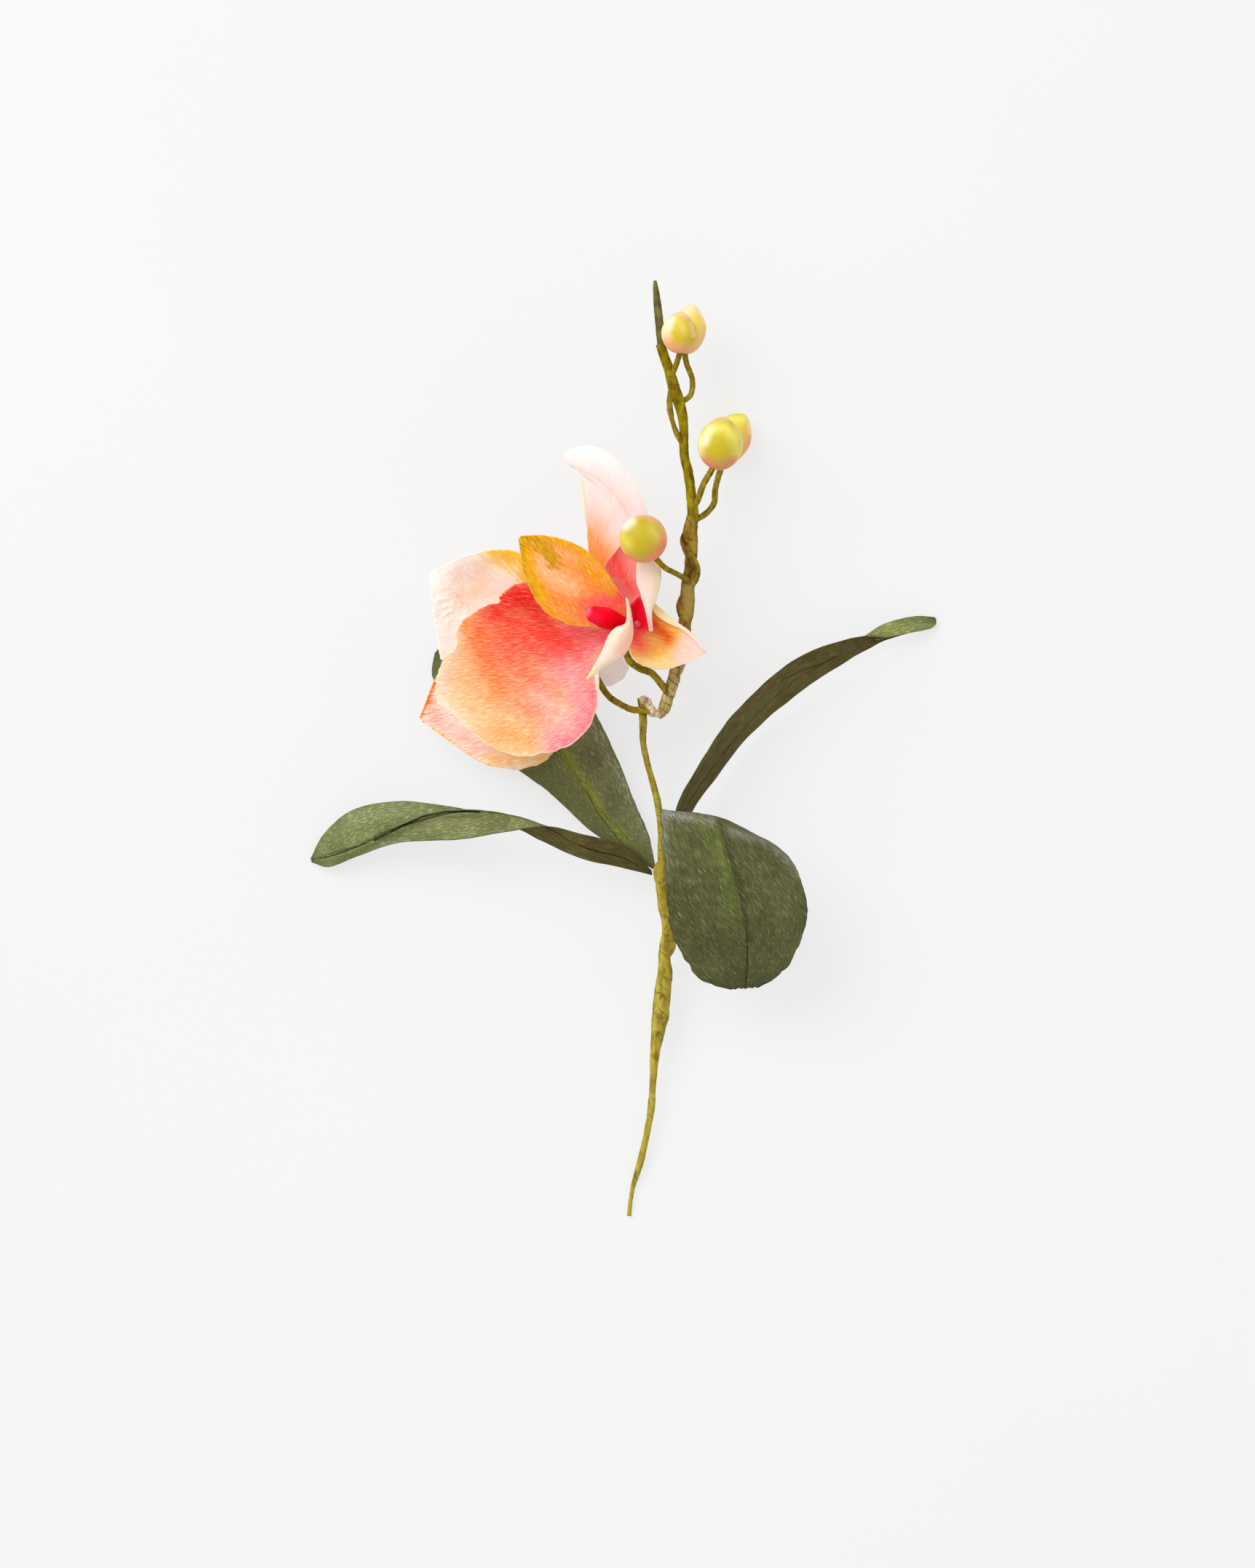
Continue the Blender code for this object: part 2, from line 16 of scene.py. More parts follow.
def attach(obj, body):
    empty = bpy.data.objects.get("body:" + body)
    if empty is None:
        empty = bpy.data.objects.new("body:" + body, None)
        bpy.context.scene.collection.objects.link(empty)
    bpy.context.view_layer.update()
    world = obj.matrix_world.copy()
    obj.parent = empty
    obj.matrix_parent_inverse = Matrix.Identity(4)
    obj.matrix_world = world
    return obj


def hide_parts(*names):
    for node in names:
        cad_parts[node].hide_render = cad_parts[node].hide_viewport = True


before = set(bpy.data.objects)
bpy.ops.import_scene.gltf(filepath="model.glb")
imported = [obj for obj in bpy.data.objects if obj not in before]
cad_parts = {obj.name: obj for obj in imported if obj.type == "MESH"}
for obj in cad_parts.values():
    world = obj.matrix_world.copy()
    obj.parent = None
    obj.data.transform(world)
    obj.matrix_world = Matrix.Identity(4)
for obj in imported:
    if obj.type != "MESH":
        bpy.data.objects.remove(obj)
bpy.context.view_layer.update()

# A millimetre in metres, and a metre in millimetres
MM = 0.001
METRE = 1000.0

# One unit of the grain and wrap maps, and one radian of a grain that fans out, in millimetres
MAP_UNIT = 100.0
FAN_RADIAN = 90.0

# A sheet's own grid is this many units wide and long, its paper this thick, its bare cut edge this wide
GRID = 10.0
PAPER = 0.32
CUT_WIDTH = 0.012

# The picture's height on the table and what lies at its centre, in millimetres, and the lens
IMAGE_MM = 539.0
FOCUS_HEIGHT = 30.0
PICTURE_CENTRE = (1.1, -12.0)
LENS = 400.0
SENSOR = 36.0

# The table and the lights, in metres and watts. The table glows a little, so that shadows stay faint
TABLE_SIZE = 8.0
TABLE_GREYS = (0.155, 0.165)
TABLE_GLOW = 0.70
WHITE = (1.0, 1.0, 1.0, 1.0)
ROOM_LIGHT = 0.85
SOFTBOX_SIZE = 1.3
SOFTBOX_POWER = 25.0
SOFTBOX_PLACE = (-0.9, 0.9, 1.4)

Stroke = namedtuple("Stroke", "tint path reach soft ragged strength on")


def dye(red, green, blue):
    """A colour as it looks on a screen, 0 to 255, turned into the shader's own scale."""
    def channel(value):
        share = value / 255
        if share <= 0.04045:
            return share / 12.92
        return ((share + 0.055) / 1.055) ** 2.4
    return (channel(red), channel(green), channel(blue), 1.0)


def brush(tint, *path, reach, soft, ragged=1.0, strength=1.0, on="top"):
    """One stroke of colour along a path, on the sheet as seen from the top or on its own grid. Most strokes
    are dye; some are painted shade or painted highlights.
    """
    return Stroke(dye(*tint), path, reach, soft, ragged, strength, on)


def along(points, t):
    """The point at t, from 0 to 1, on the smooth curve through the points."""
    spans = len(points) - 1
    at = min(int(t * spans), spans - 1)
    f = t * spans - at
    p1 = Vector(points[at])
    p2 = Vector(points[at + 1])
    p0 = Vector(points[at - 1]) if at > 0 else p1 * 2 - p2
    p3 = Vector(points[at + 2]) if at + 2 <= spans else p2 * 2 - p1
    a = (p1 - p2) * 3 + p3 - p0
    b = p0 * 2 - p1 * 5 + p2 * 4 - p3
    return (a * f**3 + b * f**2 + (p2 - p0) * f + p1 * 2) / 2


# Small helpers for shader nodes

def put(tree, socket, value):
    if isinstance(value, bpy.types.NodeSocket):
        tree.links.new(value, socket)
    else:
        socket.default_value = value


def add(tree, kind, **settings):
    node = tree.nodes.new(kind)
    for key, value in settings.items():
        setattr(node, key, value)
    return node


def sums(tree, operation, *values):
    node = add(tree, "ShaderNodeMath", operation=operation)
    for socket, value in zip(node.inputs, values):
        put(tree, socket, value)
    return node.outputs[0]


def vectors(tree, operation, *values, out=0):
    node = add(tree, "ShaderNodeVectorMath", operation=operation)
    for socket, value in zip(node.inputs, values):
        put(tree, socket, value)
    return node.outputs[out]


def tinted(tree, factor, under, over):
    """The colour over laid on the colour under, by factor."""
    node = add(tree, "ShaderNodeMix", data_type="RGBA")
    put(tree, node.inputs[0], factor)
    put(tree, node.inputs[6], under)
    put(tree, node.inputs[7], over)
    return node.outputs[2]


def covered(tree, mask, amount, under, over):
    """The colour under with the dye over laid on it where the mask is, by amount."""
    return tinted(tree, sums(tree, "MULTIPLY", mask, amount), under, dye(*over))


def ramped(tree, value, low, high):
    """Value stretched, with soft ends, so that low gives 0 and high gives 1."""
    node = add(tree, "ShaderNodeMapRange", interpolation_type="SMOOTHSTEP")
    put(tree, node.inputs["Value"], value)
    put(tree, node.inputs["From Min"], low)
    put(tree, node.inputs["From Max"], high)
    return node.outputs["Result"]


def cloudy(tree, place, scale, detail=3.0, rough=0.5):
    """Soft noise, 0 to 1, with scale blotches to a unit of place."""
    node = add(tree, "ShaderNodeTexNoise")
    put(tree, node.inputs["Vector"], place)
    node.inputs["Scale"].default_value = scale
    node.inputs["Detail"].default_value = detail
    node.inputs["Roughness"].default_value = rough
    return node.outputs["Fac"]


def new_group(name, takes, gives):
    """An empty node group with its named sockets."""
    tree = bpy.data.node_groups.new(name, "ShaderNodeTree")
    for socket, kind in takes:
        tree.interface.new_socket(name=socket, in_out="INPUT", socket_type="NodeSocket" + kind)
    for socket, kind in gives:
        tree.interface.new_socket(name=socket, in_out="OUTPUT", socket_type="NodeSocket" + kind)
    return tree, tree.nodes.new("NodeGroupInput").outputs, tree.nodes.new("NodeGroupOutput").inputs


def used(tree, group, **values):
    """A node for the group in a material, its sockets set by their names."""
    node = add(tree, "ShaderNodeGroup", node_tree=group)
    for name, value in values.items():
        put(tree, node.inputs[name.replace("_", " ")], value)
    return node.outputs


# Effects that several finishes share

def brush_stroke_group():
    """How much a stroke from one place to another covers a place, whether it lays dye or painted shade."""
    tree, takes, gives = new_group(
        "brush stroke",
        [("Place", "Vector"), ("From", "Vector"), ("To", "Vector"), ("Reach", "Float"),
         ("Soft", "Float"), ("Wander", "Float")],
        [("Coverage", "Float")],
    )
    way = vectors(tree, "SUBTRACT", takes["To"], takes["From"])
    gone = vectors(tree, "SUBTRACT", takes["Place"], takes["From"])
    ahead = vectors(tree, "DOT_PRODUCT", gone, way, out=1)
    whole = sums(tree, "MAXIMUM", vectors(tree, "DOT_PRODUCT", way, way, out=1), 0.0001)
    share = add(tree, "ShaderNodeClamp")
    put(tree, share.inputs["Value"], sums(tree, "DIVIDE", ahead, whole))
    nearest = add(tree, "ShaderNodeVectorMath", operation="SCALE")
    put(tree, nearest.inputs[0], way)
    put(tree, nearest.inputs["Scale"], share.outputs[0])
    away = vectors(tree, "DISTANCE", gone, nearest.outputs[0], out=1)
    ragged = sums(tree, "ADD", away, takes["Wander"])
    outer = sums(tree, "ADD", takes["Reach"], takes["Soft"])
    inner = sums(tree, "SUBTRACT", takes["Reach"], takes["Soft"])
    put(tree, gives["Coverage"], ramped(tree, ragged, outer, inner))
    return tree


def crepe_grain_group():
    """The fine ridges of crepe paper, and the pale flecks where the dye missed them."""
    tree, takes, gives = new_group(
        "crepe grain",
        [("Grain", "Vector"), ("Lines", "Float"), ("Streak", "Float")],
        [("Ridges", "Float"), ("Flecks", "Float"), ("Wander", "Float")],
    )
    parts = add(tree, "ShaderNodeSeparateXYZ")
    put(tree, parts.inputs[0], takes["Grain"])
    across = sums(tree, "MULTIPLY", parts.outputs[0], takes["Lines"])
    ahead = sums(tree, "DIVIDE", parts.outputs[1], takes["Streak"])
    drawn = add(tree, "ShaderNodeCombineXYZ")
    put(tree, drawn.inputs[0], across)
    put(tree, drawn.inputs[1], ahead)
    fine = cloudy(tree, drawn.outputs[0], 1.0, 2.0, 0.6)
    put(tree, gives["Ridges"], ramped(tree, fine, 0.36, 0.64))
    other = vectors(tree, "MULTIPLY", drawn.outputs[0], (0.85, 0.8, 1.0))
    missed = cloudy(tree, vectors(tree, "ADD", other, (31.0, 17.0, 5.0)), 1.0, 2.0, 0.6)
    patches = cloudy(tree, vectors(tree, "MULTIPLY", drawn.outputs[0], (0.16, 0.3, 1.0)), 1.0, 2.0)
    bare = sums(tree, "MULTIPLY", ramped(tree, missed, 0.46, 0.66), ramped(tree, patches, 0.25, 0.62))
    put(tree, gives["Flecks"], bare)
    broad = vectors(tree, "MULTIPLY", drawn.outputs[0], (0.45, 0.45, 1.0))
    wander = cloudy(tree, vectors(tree, "ADD", broad, (7.0, 3.0, 11.0)), 1.0, 3.0, 0.65)
    centred = sums(tree, "SUBTRACT", wander, 0.5)
    put(tree, gives["Wander"], sums(tree, "MULTIPLY", centred, 6.0))
    return tree


def cut_edge_group():
    """The bare margin of a sheet, where the dye stops short of the scissors' cut."""
    tree, takes, gives = new_group(
        "cut edge",
        [("Sheet", "Vector"), ("Width", "Float"), ("Wander", "Float")],
        [("Edge", "Float")],
    )
    parts = add(tree, "ShaderNodeSeparateXYZ")
    put(tree, parts.inputs[0], takes["Sheet"])
    left = parts.outputs[0]
    right = sums(tree, "SUBTRACT", 1.0, left)
    tip = sums(tree, "SUBTRACT", 1.0, parts.outputs[1])
    nearest = sums(tree, "MINIMUM", sums(tree, "MINIMUM", left, right), tip)
    shifted = sums(tree, "ADD", nearest, sums(tree, "MULTIPLY", takes["Wander"], 0.006))
    put(tree, gives["Edge"], ramped(tree, shifted, takes["Width"], 0.0))
    return tree


def tape_winding_group():
    """Where the edge of a tape wound round a wire lies, and how far into its turn a place is."""
    tree, takes, gives = new_group(
        "tape winding",
        [("Wrap", "Vector"), ("Pitch", "Float"), ("Wander", "Float")],
        [("Edge", "Float"), ("Turn", "Float")],
    )
    parts = add(tree, "ShaderNodeSeparateXYZ")
    put(tree, parts.inputs[0], takes["Wrap"])
    turns = sums(tree, "DIVIDE", parts.outputs[1], takes["Pitch"])
    wound = sums(tree, "ADD", sums(tree, "ADD", parts.outputs[0], turns), takes["Wander"])
    turn = sums(tree, "FRACT", wound)
    put(tree, gives["Turn"], turn)
    put(tree, gives["Edge"], ramped(tree, turn, 0.86, 1.0))
    return tree


BRUSH_STROKE = brush_stroke_group()
CREPE_GRAIN = crepe_grain_group()
CUT_EDGE = cut_edge_group()
TAPE_WINDING = tape_winding_group()


def new_material(name, roughness):
    made = bpy.data.materials.new(name)
    made.use_nodes = True
    tree = made.node_tree
    shader = tree.nodes["Principled BSDF"]
    shader.inputs["Roughness"].default_value = roughness
    return made, tree, shader


def grain_in_mm(tree):
    """The sheet's grain map, in millimetres."""
    node = add(tree, "ShaderNodeUVMap", uv_map="grain")
    return vectors(tree, "MULTIPLY", node.outputs[0], (MAP_UNIT, MAP_UNIT, MAP_UNIT))


def place_in_mm(tree, upright=METRE):
    """The place of each point, in millimetres."""
    node = add(tree, "ShaderNodeTexCoord")
    return vectors(tree, "MULTIPLY", node.outputs["Object"], (METRE, METRE, upright))


def seen_from_top(tree):
    """The place on the table under each point, in millimetres."""
    return place_in_mm(tree, 0.0)


def bumped(tree, shader, height, depth):
    """Raise the surface by height, which is depth millimetres at 1."""
    node = add(tree, "ShaderNodeBump")
    node.inputs["Strength"].default_value = 1.0
    node.inputs["Distance"].default_value = depth * MM
    put(tree, node.inputs["Height"], height)
    put(tree, shader.inputs["Normal"], node.outputs[0])


def brushed(tree, colour, strokes, places, wander):
    """The colour with each stroke laid over the ones before it: dye, and in places painted shade or painted
    highlights.
    """
    for stroke in strokes:
        legs = list(zip(stroke.path, stroke.path[1:])) or [(stroke.path[0], stroke.path[0])]
        shift = sums(tree, "MULTIPLY", wander, stroke.ragged)
        stroke_mask = None
        for start, end in legs:
            leg = used(
                tree, BRUSH_STROKE, Place=places[stroke.on], From=(*start, 0.0), To=(*end, 0.0),
                Reach=stroke.reach, Soft=stroke.soft, Wander=shift,
            )[0]
            stroke_mask = leg if stroke_mask is None else sums(tree, "MAXIMUM", stroke_mask, leg)
        factor = sums(tree, "MULTIPLY", stroke_mask, stroke.strength)
        colour = tinted(tree, factor, colour, stroke.tint)
    return colour


def crepe_maps(tree, lines, streak):
    """The sheet's own map, the maps that strokes are laid on, and the grain of the crepe."""
    sheet = add(tree, "ShaderNodeUVMap", uv_map="sheet").outputs[0]
    gridded = vectors(tree, "MULTIPLY", sheet, (GRID, GRID, 0.0))
    crepe = used(tree, CREPE_GRAIN, Grain=grain_in_mm(tree), Lines=lines, Streak=streak)
    return sheet, {"top": seen_from_top(tree), "sheet": gridded}, crepe


def rimmed(tree, sheet, crepe, amount, under, over):
    """The colour under with the colour over at the sheet's cut edges, by amount."""
    rim = used(tree, CUT_EDGE, Sheet=sheet, Width=CUT_WIDTH, Wander=crepe["Wander"])["Edge"]
    return covered(tree, rim, amount, under, over)


def dyed_crepe(name, ground, strokes=(), flecks=0.35, shade=0.35, deep=(225, 170, 140), stain=0.0,
               lines=2.8, streak=2.6, edge=(252, 226, 200), edges=0.6, depth=0.10, through=0.35):
    """Crepe paper with brushed dye, thinner and thicker along its grain, and a bare cut edge. Some of its
    strokes are painted shade.
    """
    made, tree, shader = new_material(name, 0.78)
    sheet, places, crepe = crepe_maps(tree, lines, streak)
    colour = brushed(tree, dye(*ground), strokes, places, crepe["Wander"])
    valley = sums(tree, "SUBTRACT", 1.0, crepe["Ridges"])
    gathered = sums(tree, "ADD", sums(tree, "MULTIPLY", valley, shade), 1.0)
    density = sums(tree, "SUBTRACT", gathered, sums(tree, "MULTIPLY", crepe["Flecks"], flecks))
    thinned = add(tree, "ShaderNodeGamma")
    put(tree, thinned.inputs["Color"], colour)
    put(tree, thinned.inputs["Gamma"], density)
    deeper = add(tree, "ShaderNodeMix", data_type="RGBA", blend_type="MULTIPLY")
    put(tree, deeper.inputs[0], sums(tree, "MULTIPLY", valley, stain))
    put(tree, deeper.inputs[6], thinned.outputs[0])
    deeper.inputs[7].default_value = dye(*deep)
    colour = rimmed(tree, sheet, crepe, edges, deeper.outputs[2], edge)
    put(tree, shader.inputs["Base Color"], colour)
    shader.inputs["Sheen Weight"].default_value = 0.03
    shader.inputs["Specular IOR Level"].default_value = 0.10
    shader.inputs["Subsurface Weight"].default_value = through
    shader.inputs["Subsurface Radius"].default_value = (1.0, 0.6, 0.45)
    shader.inputs["Subsurface Scale"].default_value = 0.0012
    bumped(tree, shader, crepe["Ridges"], depth)
    return made


# Sheets of crepe

def seed_from(name, step):
    """A number of its own for each piece's noise."""
    return sum(ord(letter) for letter in name) * step


def eased(value, at, width):
    """1 at a place, and less away from it."""
    return math.exp(-(((value - at) / width) ** 2))


def trimmed(across, length, nicks, rough, seed):
    """Where on the uncut sheet a point lies once its edges are cut a little unevenly."""
    side = 2 * across - 1
    hand = noise.noise(Vector((length * 17, side, seed)))
    hand += 0.5 * noise.noise(Vector((length * 47, side, seed)))
    tip_hand = noise.noise(Vector((across * 15, 9.0, seed)))
    tip_hand += 0.5 * noise.noise(Vector((across * 41, 4.0, seed)))
    new_across = across - side * abs(side) ** 5 * rough * (0.6 + hand)
    new_length = length - length**9 * rough * (0.6 + tip_hand)
    for edge, at, depth, width in nicks:
        if edge == "low":
            new_across += depth * eased(length, at, width) * (1 - across) ** 4
        elif edge == "high":
            new_across -= depth * eased(length, at, width) * across**4
        else:
            new_length -= depth * eased(across, at, width) * length**8
    return min(max(new_across, 0.0), 1.0), min(max(new_length, 0.0), 1.0)


def laid(ribs, across, fold):
    """The point between the ribs, on a smooth bow or, by fold, on straight halves."""
    smooth = along(ribs, across)
    if fold == 0:
        return smooth
    half = (len(ribs) - 1) / 2
    if across < 0.5:
        straight = ribs[0].lerp(ribs[int(half)], across * 2)
    else:
        straight = ribs[int(half)].lerp(ribs[-1], across * 2 - 1)
    return smooth.lerp(straight, fold)


def finished(name, bm, node, slot, *finishes):
    """The piece itself, with its materials, its body and the solid it stands for."""
    mesh = bpy.data.meshes.new(name)
    bm.to_mesh(mesh)
    bm.free()
    piece = bpy.data.objects.new(name, mesh)
    for finish in finishes:
        piece.data.materials.append(finish)
    bpy.context.scene.collection.objects.link(piece)
    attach(piece, "root")
    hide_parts(node)
    return piece


def crepe_sheet(node, slot, curves, finish, size, under=None, grain_from=None, nicks=(), rough=0.012,
                flutes=0.12, crumple=0.12, ruffle=0.0, waves=3, fold=0.0, groove=0.0, crushed=None,
                slant=0.0, paper=PAPER, part="crepe"):
    """A thin sheet over long curves from base to tip. Size is its rows and columns.

    Its grain runs along it, or fans out from a place. Its lower side may have a finish of its own.
    Crushed is a place, how far the creases round it reach and how high they stand.
    """
    rows, cols = size
    seed = seed_from(node + part, 0.137)
    ribs_at = {}
    middle = curves[len(curves) // 2]
    reach = sum((Vector(b) - Vector(a)).length for a, b in zip(middle, middle[1:]))
    half_way = [along(curve, 0.5) for curve in curves]
    width = sum((b - a).length for a, b in zip(half_way, half_way[1:]))
    bm = bmesh.new()
    bmesh.ops.create_grid(bm, x_segments=cols, y_segments=rows, size=1.0)
    grid = {}
    for vert in bm.verts:
        across = (vert.co.x + 1) / 2
        length = (vert.co.y + 1) / 2
        grid[vert.index] = (across, length)
        cut_across, cut_length = trimmed(across, length, nicks, rough, seed)
        key = round(cut_length, 5)
        if key not in ribs_at:
            ribs_at[key] = [along(curve, cut_length) for curve in curves]
        place = laid(ribs_at[key], cut_across, fold)
        lift = ruffle * math.sin(waves * math.tau * length) * (2 * across - 1) ** 3
        lift -= groove * eased(across, 0.5, 0.03) * min(1.0, length * 6, (1 - length) * 12)
        if crushed:
            x, y, spread, height = crushed
            near = math.exp(-(((place.x - x) ** 2 + (place.y - y) ** 2) / spread**2))
            ridge = 1 - abs(noise.noise(Vector((place.x / 3.2, place.y / 2.6, seed)))) * 3
            lift += height * near * max(ridge, -0.4)
        vert.co = (place + Vector((0, 0, lift))) * MM
    bm.normal_update()
    if sum(face.normal.z * face.calc_area() for face in bm.faces) < 0:
        bmesh.ops.reverse_faces(bm, faces=bm.faces)
        bm.normal_update()
    ridges = {}
    for vert in bm.verts:
        across, length = grid[vert.index]
        free = min(1.0, length * 5)
        flute = noise.noise(Vector((across * width / 3.2, length * reach / 22, seed)))
        dent = noise.noise(vert.co * METRE / 7 + Vector((seed, 0, 0)))
        ridges[vert.index] = (flutes * flute + crumple * dent) * free
    for vert in bm.verts:
        vert.co += vert.normal * ridges[vert.index] * MM
    grain = bm.loops.layers.uv.new("grain")
    sheet_map = bm.loops.layers.uv.new("sheet")
    for face in bm.faces:
        face.smooth = True
        for loop in face.loops:
            across, length = grid[loop.vert.index]
            loop[sheet_map].uv = (across, length)
            if grain_from is None:
                shift = across * width + slant * length * reach
                loop[grain].uv = (shift / MAP_UNIT, length * reach / MAP_UNIT)
            else:
                way = loop.vert.co.xy * METRE - Vector(grain_from)
                turn = math.atan2(way.x, -way.y)
                loop[grain].uv = (turn * FAN_RADIAN / MAP_UNIT, way.length / MAP_UNIT)
    finishes = [finish, under] if under else [finish]
    piece = finished(f"{node}_{part}", bm, node, slot, *finishes)
    body = piece.modifiers.new("paper thickness", "SOLIDIFY")
    body.thickness = paper * MM
    body.offset = 0.0
    if under:
        body.material_offset = 1


# Taped wires

def wire(name, node, slot, route, finish, pitch=3.0, sides=26, step=0.4, lumps=0.06, ridge=0.07,
         wrinkles=0.05):
    """A wire wound with tape, along points (x, y, z, radius), with its ends closed."""
    seed = seed_from(name, 0.219)
    places = [Vector(p[:3]) for p in route]
    radii = [(p[3], 0, 0) for p in route]
    total = sum((b - a).length for a, b in zip(places, places[1:]))
    steps = max(8, int(total / step))
    bm = bmesh.new()
    wrap = bm.loops.layers.uv.new("wrap")
    centres = [along(places, i / steps) for i in range(steps + 1)]
    way = (centres[1] - centres[0]).normalized()
    side = way.orthogonal().normalized()
    rings = []
    gone = 0.0
    distances = []
    for i, centre in enumerate(centres):
        if i > 0:
            gone += (centre - centres[i - 1]).length
            ahead = centres[min(i + 1, steps)] - centres[i - 1]
            new_way = ahead.normalized()
            side = way.rotation_difference(new_way) @ side
            way = new_way
        other = way.cross(side)
        radius = along(radii, i / steps).x
        ring = []
        for j in range(sides):
            turn = j / sides
            out = side * math.cos(turn * math.tau) + other * math.sin(turn * math.tau)
            phase = (turn + gone / pitch) % 1
            lump = noise.noise((centre + out * radius) * 0.33 + Vector((seed, 0, 0)))
            crease = noise.noise(Vector((phase * 5, gone * 1.1, seed)))
            place = radius * (1 + lumps * lump) + ridge * (0.5 - phase) + wrinkles * crease
            ring.append(bm.verts.new((centre + out * place) * MM))
        rings.append(ring)
        distances.append(gone)
    for i in range(steps):
        for j in range(sides):
            k = (j + 1) % sides
            face = bm.faces.new((rings[i][j], rings[i][k], rings[i + 1][k], rings[i + 1][j]))
            face.smooth = True
            turns = (j / sides, (j + 1) / sides, (j + 1) / sides, j / sides)
            lengths = (distances[i], distances[i], distances[i + 1], distances[i + 1])
            for loop, turn, length in zip(face.loops, turns, lengths):
                loop[wrap].uv = (turn, length / MAP_UNIT)
    for ring, at in ((rings[0], 0), (rings[-1], -1)):
        hub = bm.verts.new(centres[at] * MM)
        for j in range(sides):
            face = bm.faces.new((ring[j], ring[(j + 1) % sides], hub))
            for loop in face.loops:
                loop[wrap].uv = (0.5, distances[at] / MAP_UNIT)
    bmesh.ops.recalc_face_normals(bm, faces=bm.faces)
    finished(name, bm, node, slot, finish)


def stem_wire(name, route, finish, **shape):
    """One of the wires that make up the stem."""
    wire(name, "stem", "stem_tape", route, finish, **shape)


def paper_tape(name, ground, light, dark, pitch=3.0, line=0.55, yellow=None, yellows=0.0, strokes=()):
    """Olive tape wound round wire: uneven dye, a dark line where each turn overlaps, and strokes, some of
    them painted shade.
    """
    made, tree, shader = new_material(name, 0.72)
    place = place_in_mm(tree)
    raw = add(tree, "ShaderNodeUVMap", uv_map="wrap").outputs[0]
    wrap = vectors(tree, "MULTIPLY", raw, (1.0, MAP_UNIT, 0.0))
    wobble = sums(tree, "MULTIPLY", sums(tree, "SUBTRACT", cloudy(tree, place, 0.35), 0.5), 0.9)
    tape = used(tree, TAPE_WINDING, Wrap=wrap, Pitch=pitch, Wander=wobble)
    drawn = vectors(tree, "MULTIPLY", place, (1.0, 0.4, 1.0))
    blotch = cloudy(tree, drawn, 0.34, 4.0, 0.6)
    colour = tinted(tree, ramped(tree, blotch, 0.35, 0.65), dye(*ground), dye(*light))
    deep = cloudy(tree, vectors(tree, "ADD", drawn, (40.0, 3.0, 9.0)), 0.6, 4.0)
    colour = covered(tree, ramped(tree, deep, 0.52, 0.72), 0.7, colour, dark)
    if yellow:
        warm = cloudy(tree, vectors(tree, "ADD", drawn, (3.0, 70.0, 5.0)), 0.5, 3.0)
        colour = covered(tree, ramped(tree, warm, 0.48, 0.66), yellows, colour, yellow)
    fibre = cloudy(tree, vectors(tree, "MULTIPLY", wrap, (9.0, 0.2, 1.0)), 1.0, 3.0, 0.6)
    colour = covered(tree, ramped(tree, fibre, 0.45, 0.7), 0.5, colour, dark)
    strength = sums(tree, "MULTIPLY", tape["Edge"], ramped(tree, blotch, 0.25, 0.5))
    colour = covered(tree, strength, line, colour, dark)
    colour = brushed(tree, colour, strokes, {"top": seen_from_top(tree)}, wobble)
    put(tree, shader.inputs["Base Color"], colour)
    shader.inputs["Specular IOR Level"].default_value = 0.06
    rough = sums(tree, "ADD", fibre, sums(tree, "MULTIPLY", cloudy(tree, place, 2.2, 3.0), 0.8))
    bumped(tree, shader, sums(tree, "SUBTRACT", rough, tape["Edge"]), 0.09)
    return made


def twisted(route, pitch, turn, at):
    """Two strands twisted about a route: a thick one, and a thin one wound round it."""
    centres = [Vector(p[:3]) for p in route]
    radii = [(p[3], 0, 0) for p in route]
    thick = []
    thin = []
    steps = 28
    for i in range(steps + 1):
        t = i / steps
        centre = along(centres, t)
        radius = along(radii, t).x
        apart = min(1.0, i / 4, (steps - i) / 4)
        angle = (turn + (centre.y - at) / pitch) * math.tau
        out = Vector((math.cos(angle), 0, math.sin(angle)))
        thick.append((*(centre - out * 0.6 * apart), radius - 0.65 * apart))
        thin.append((*(centre + out * 1.6 * apart), 1.45))
    return thick, thin


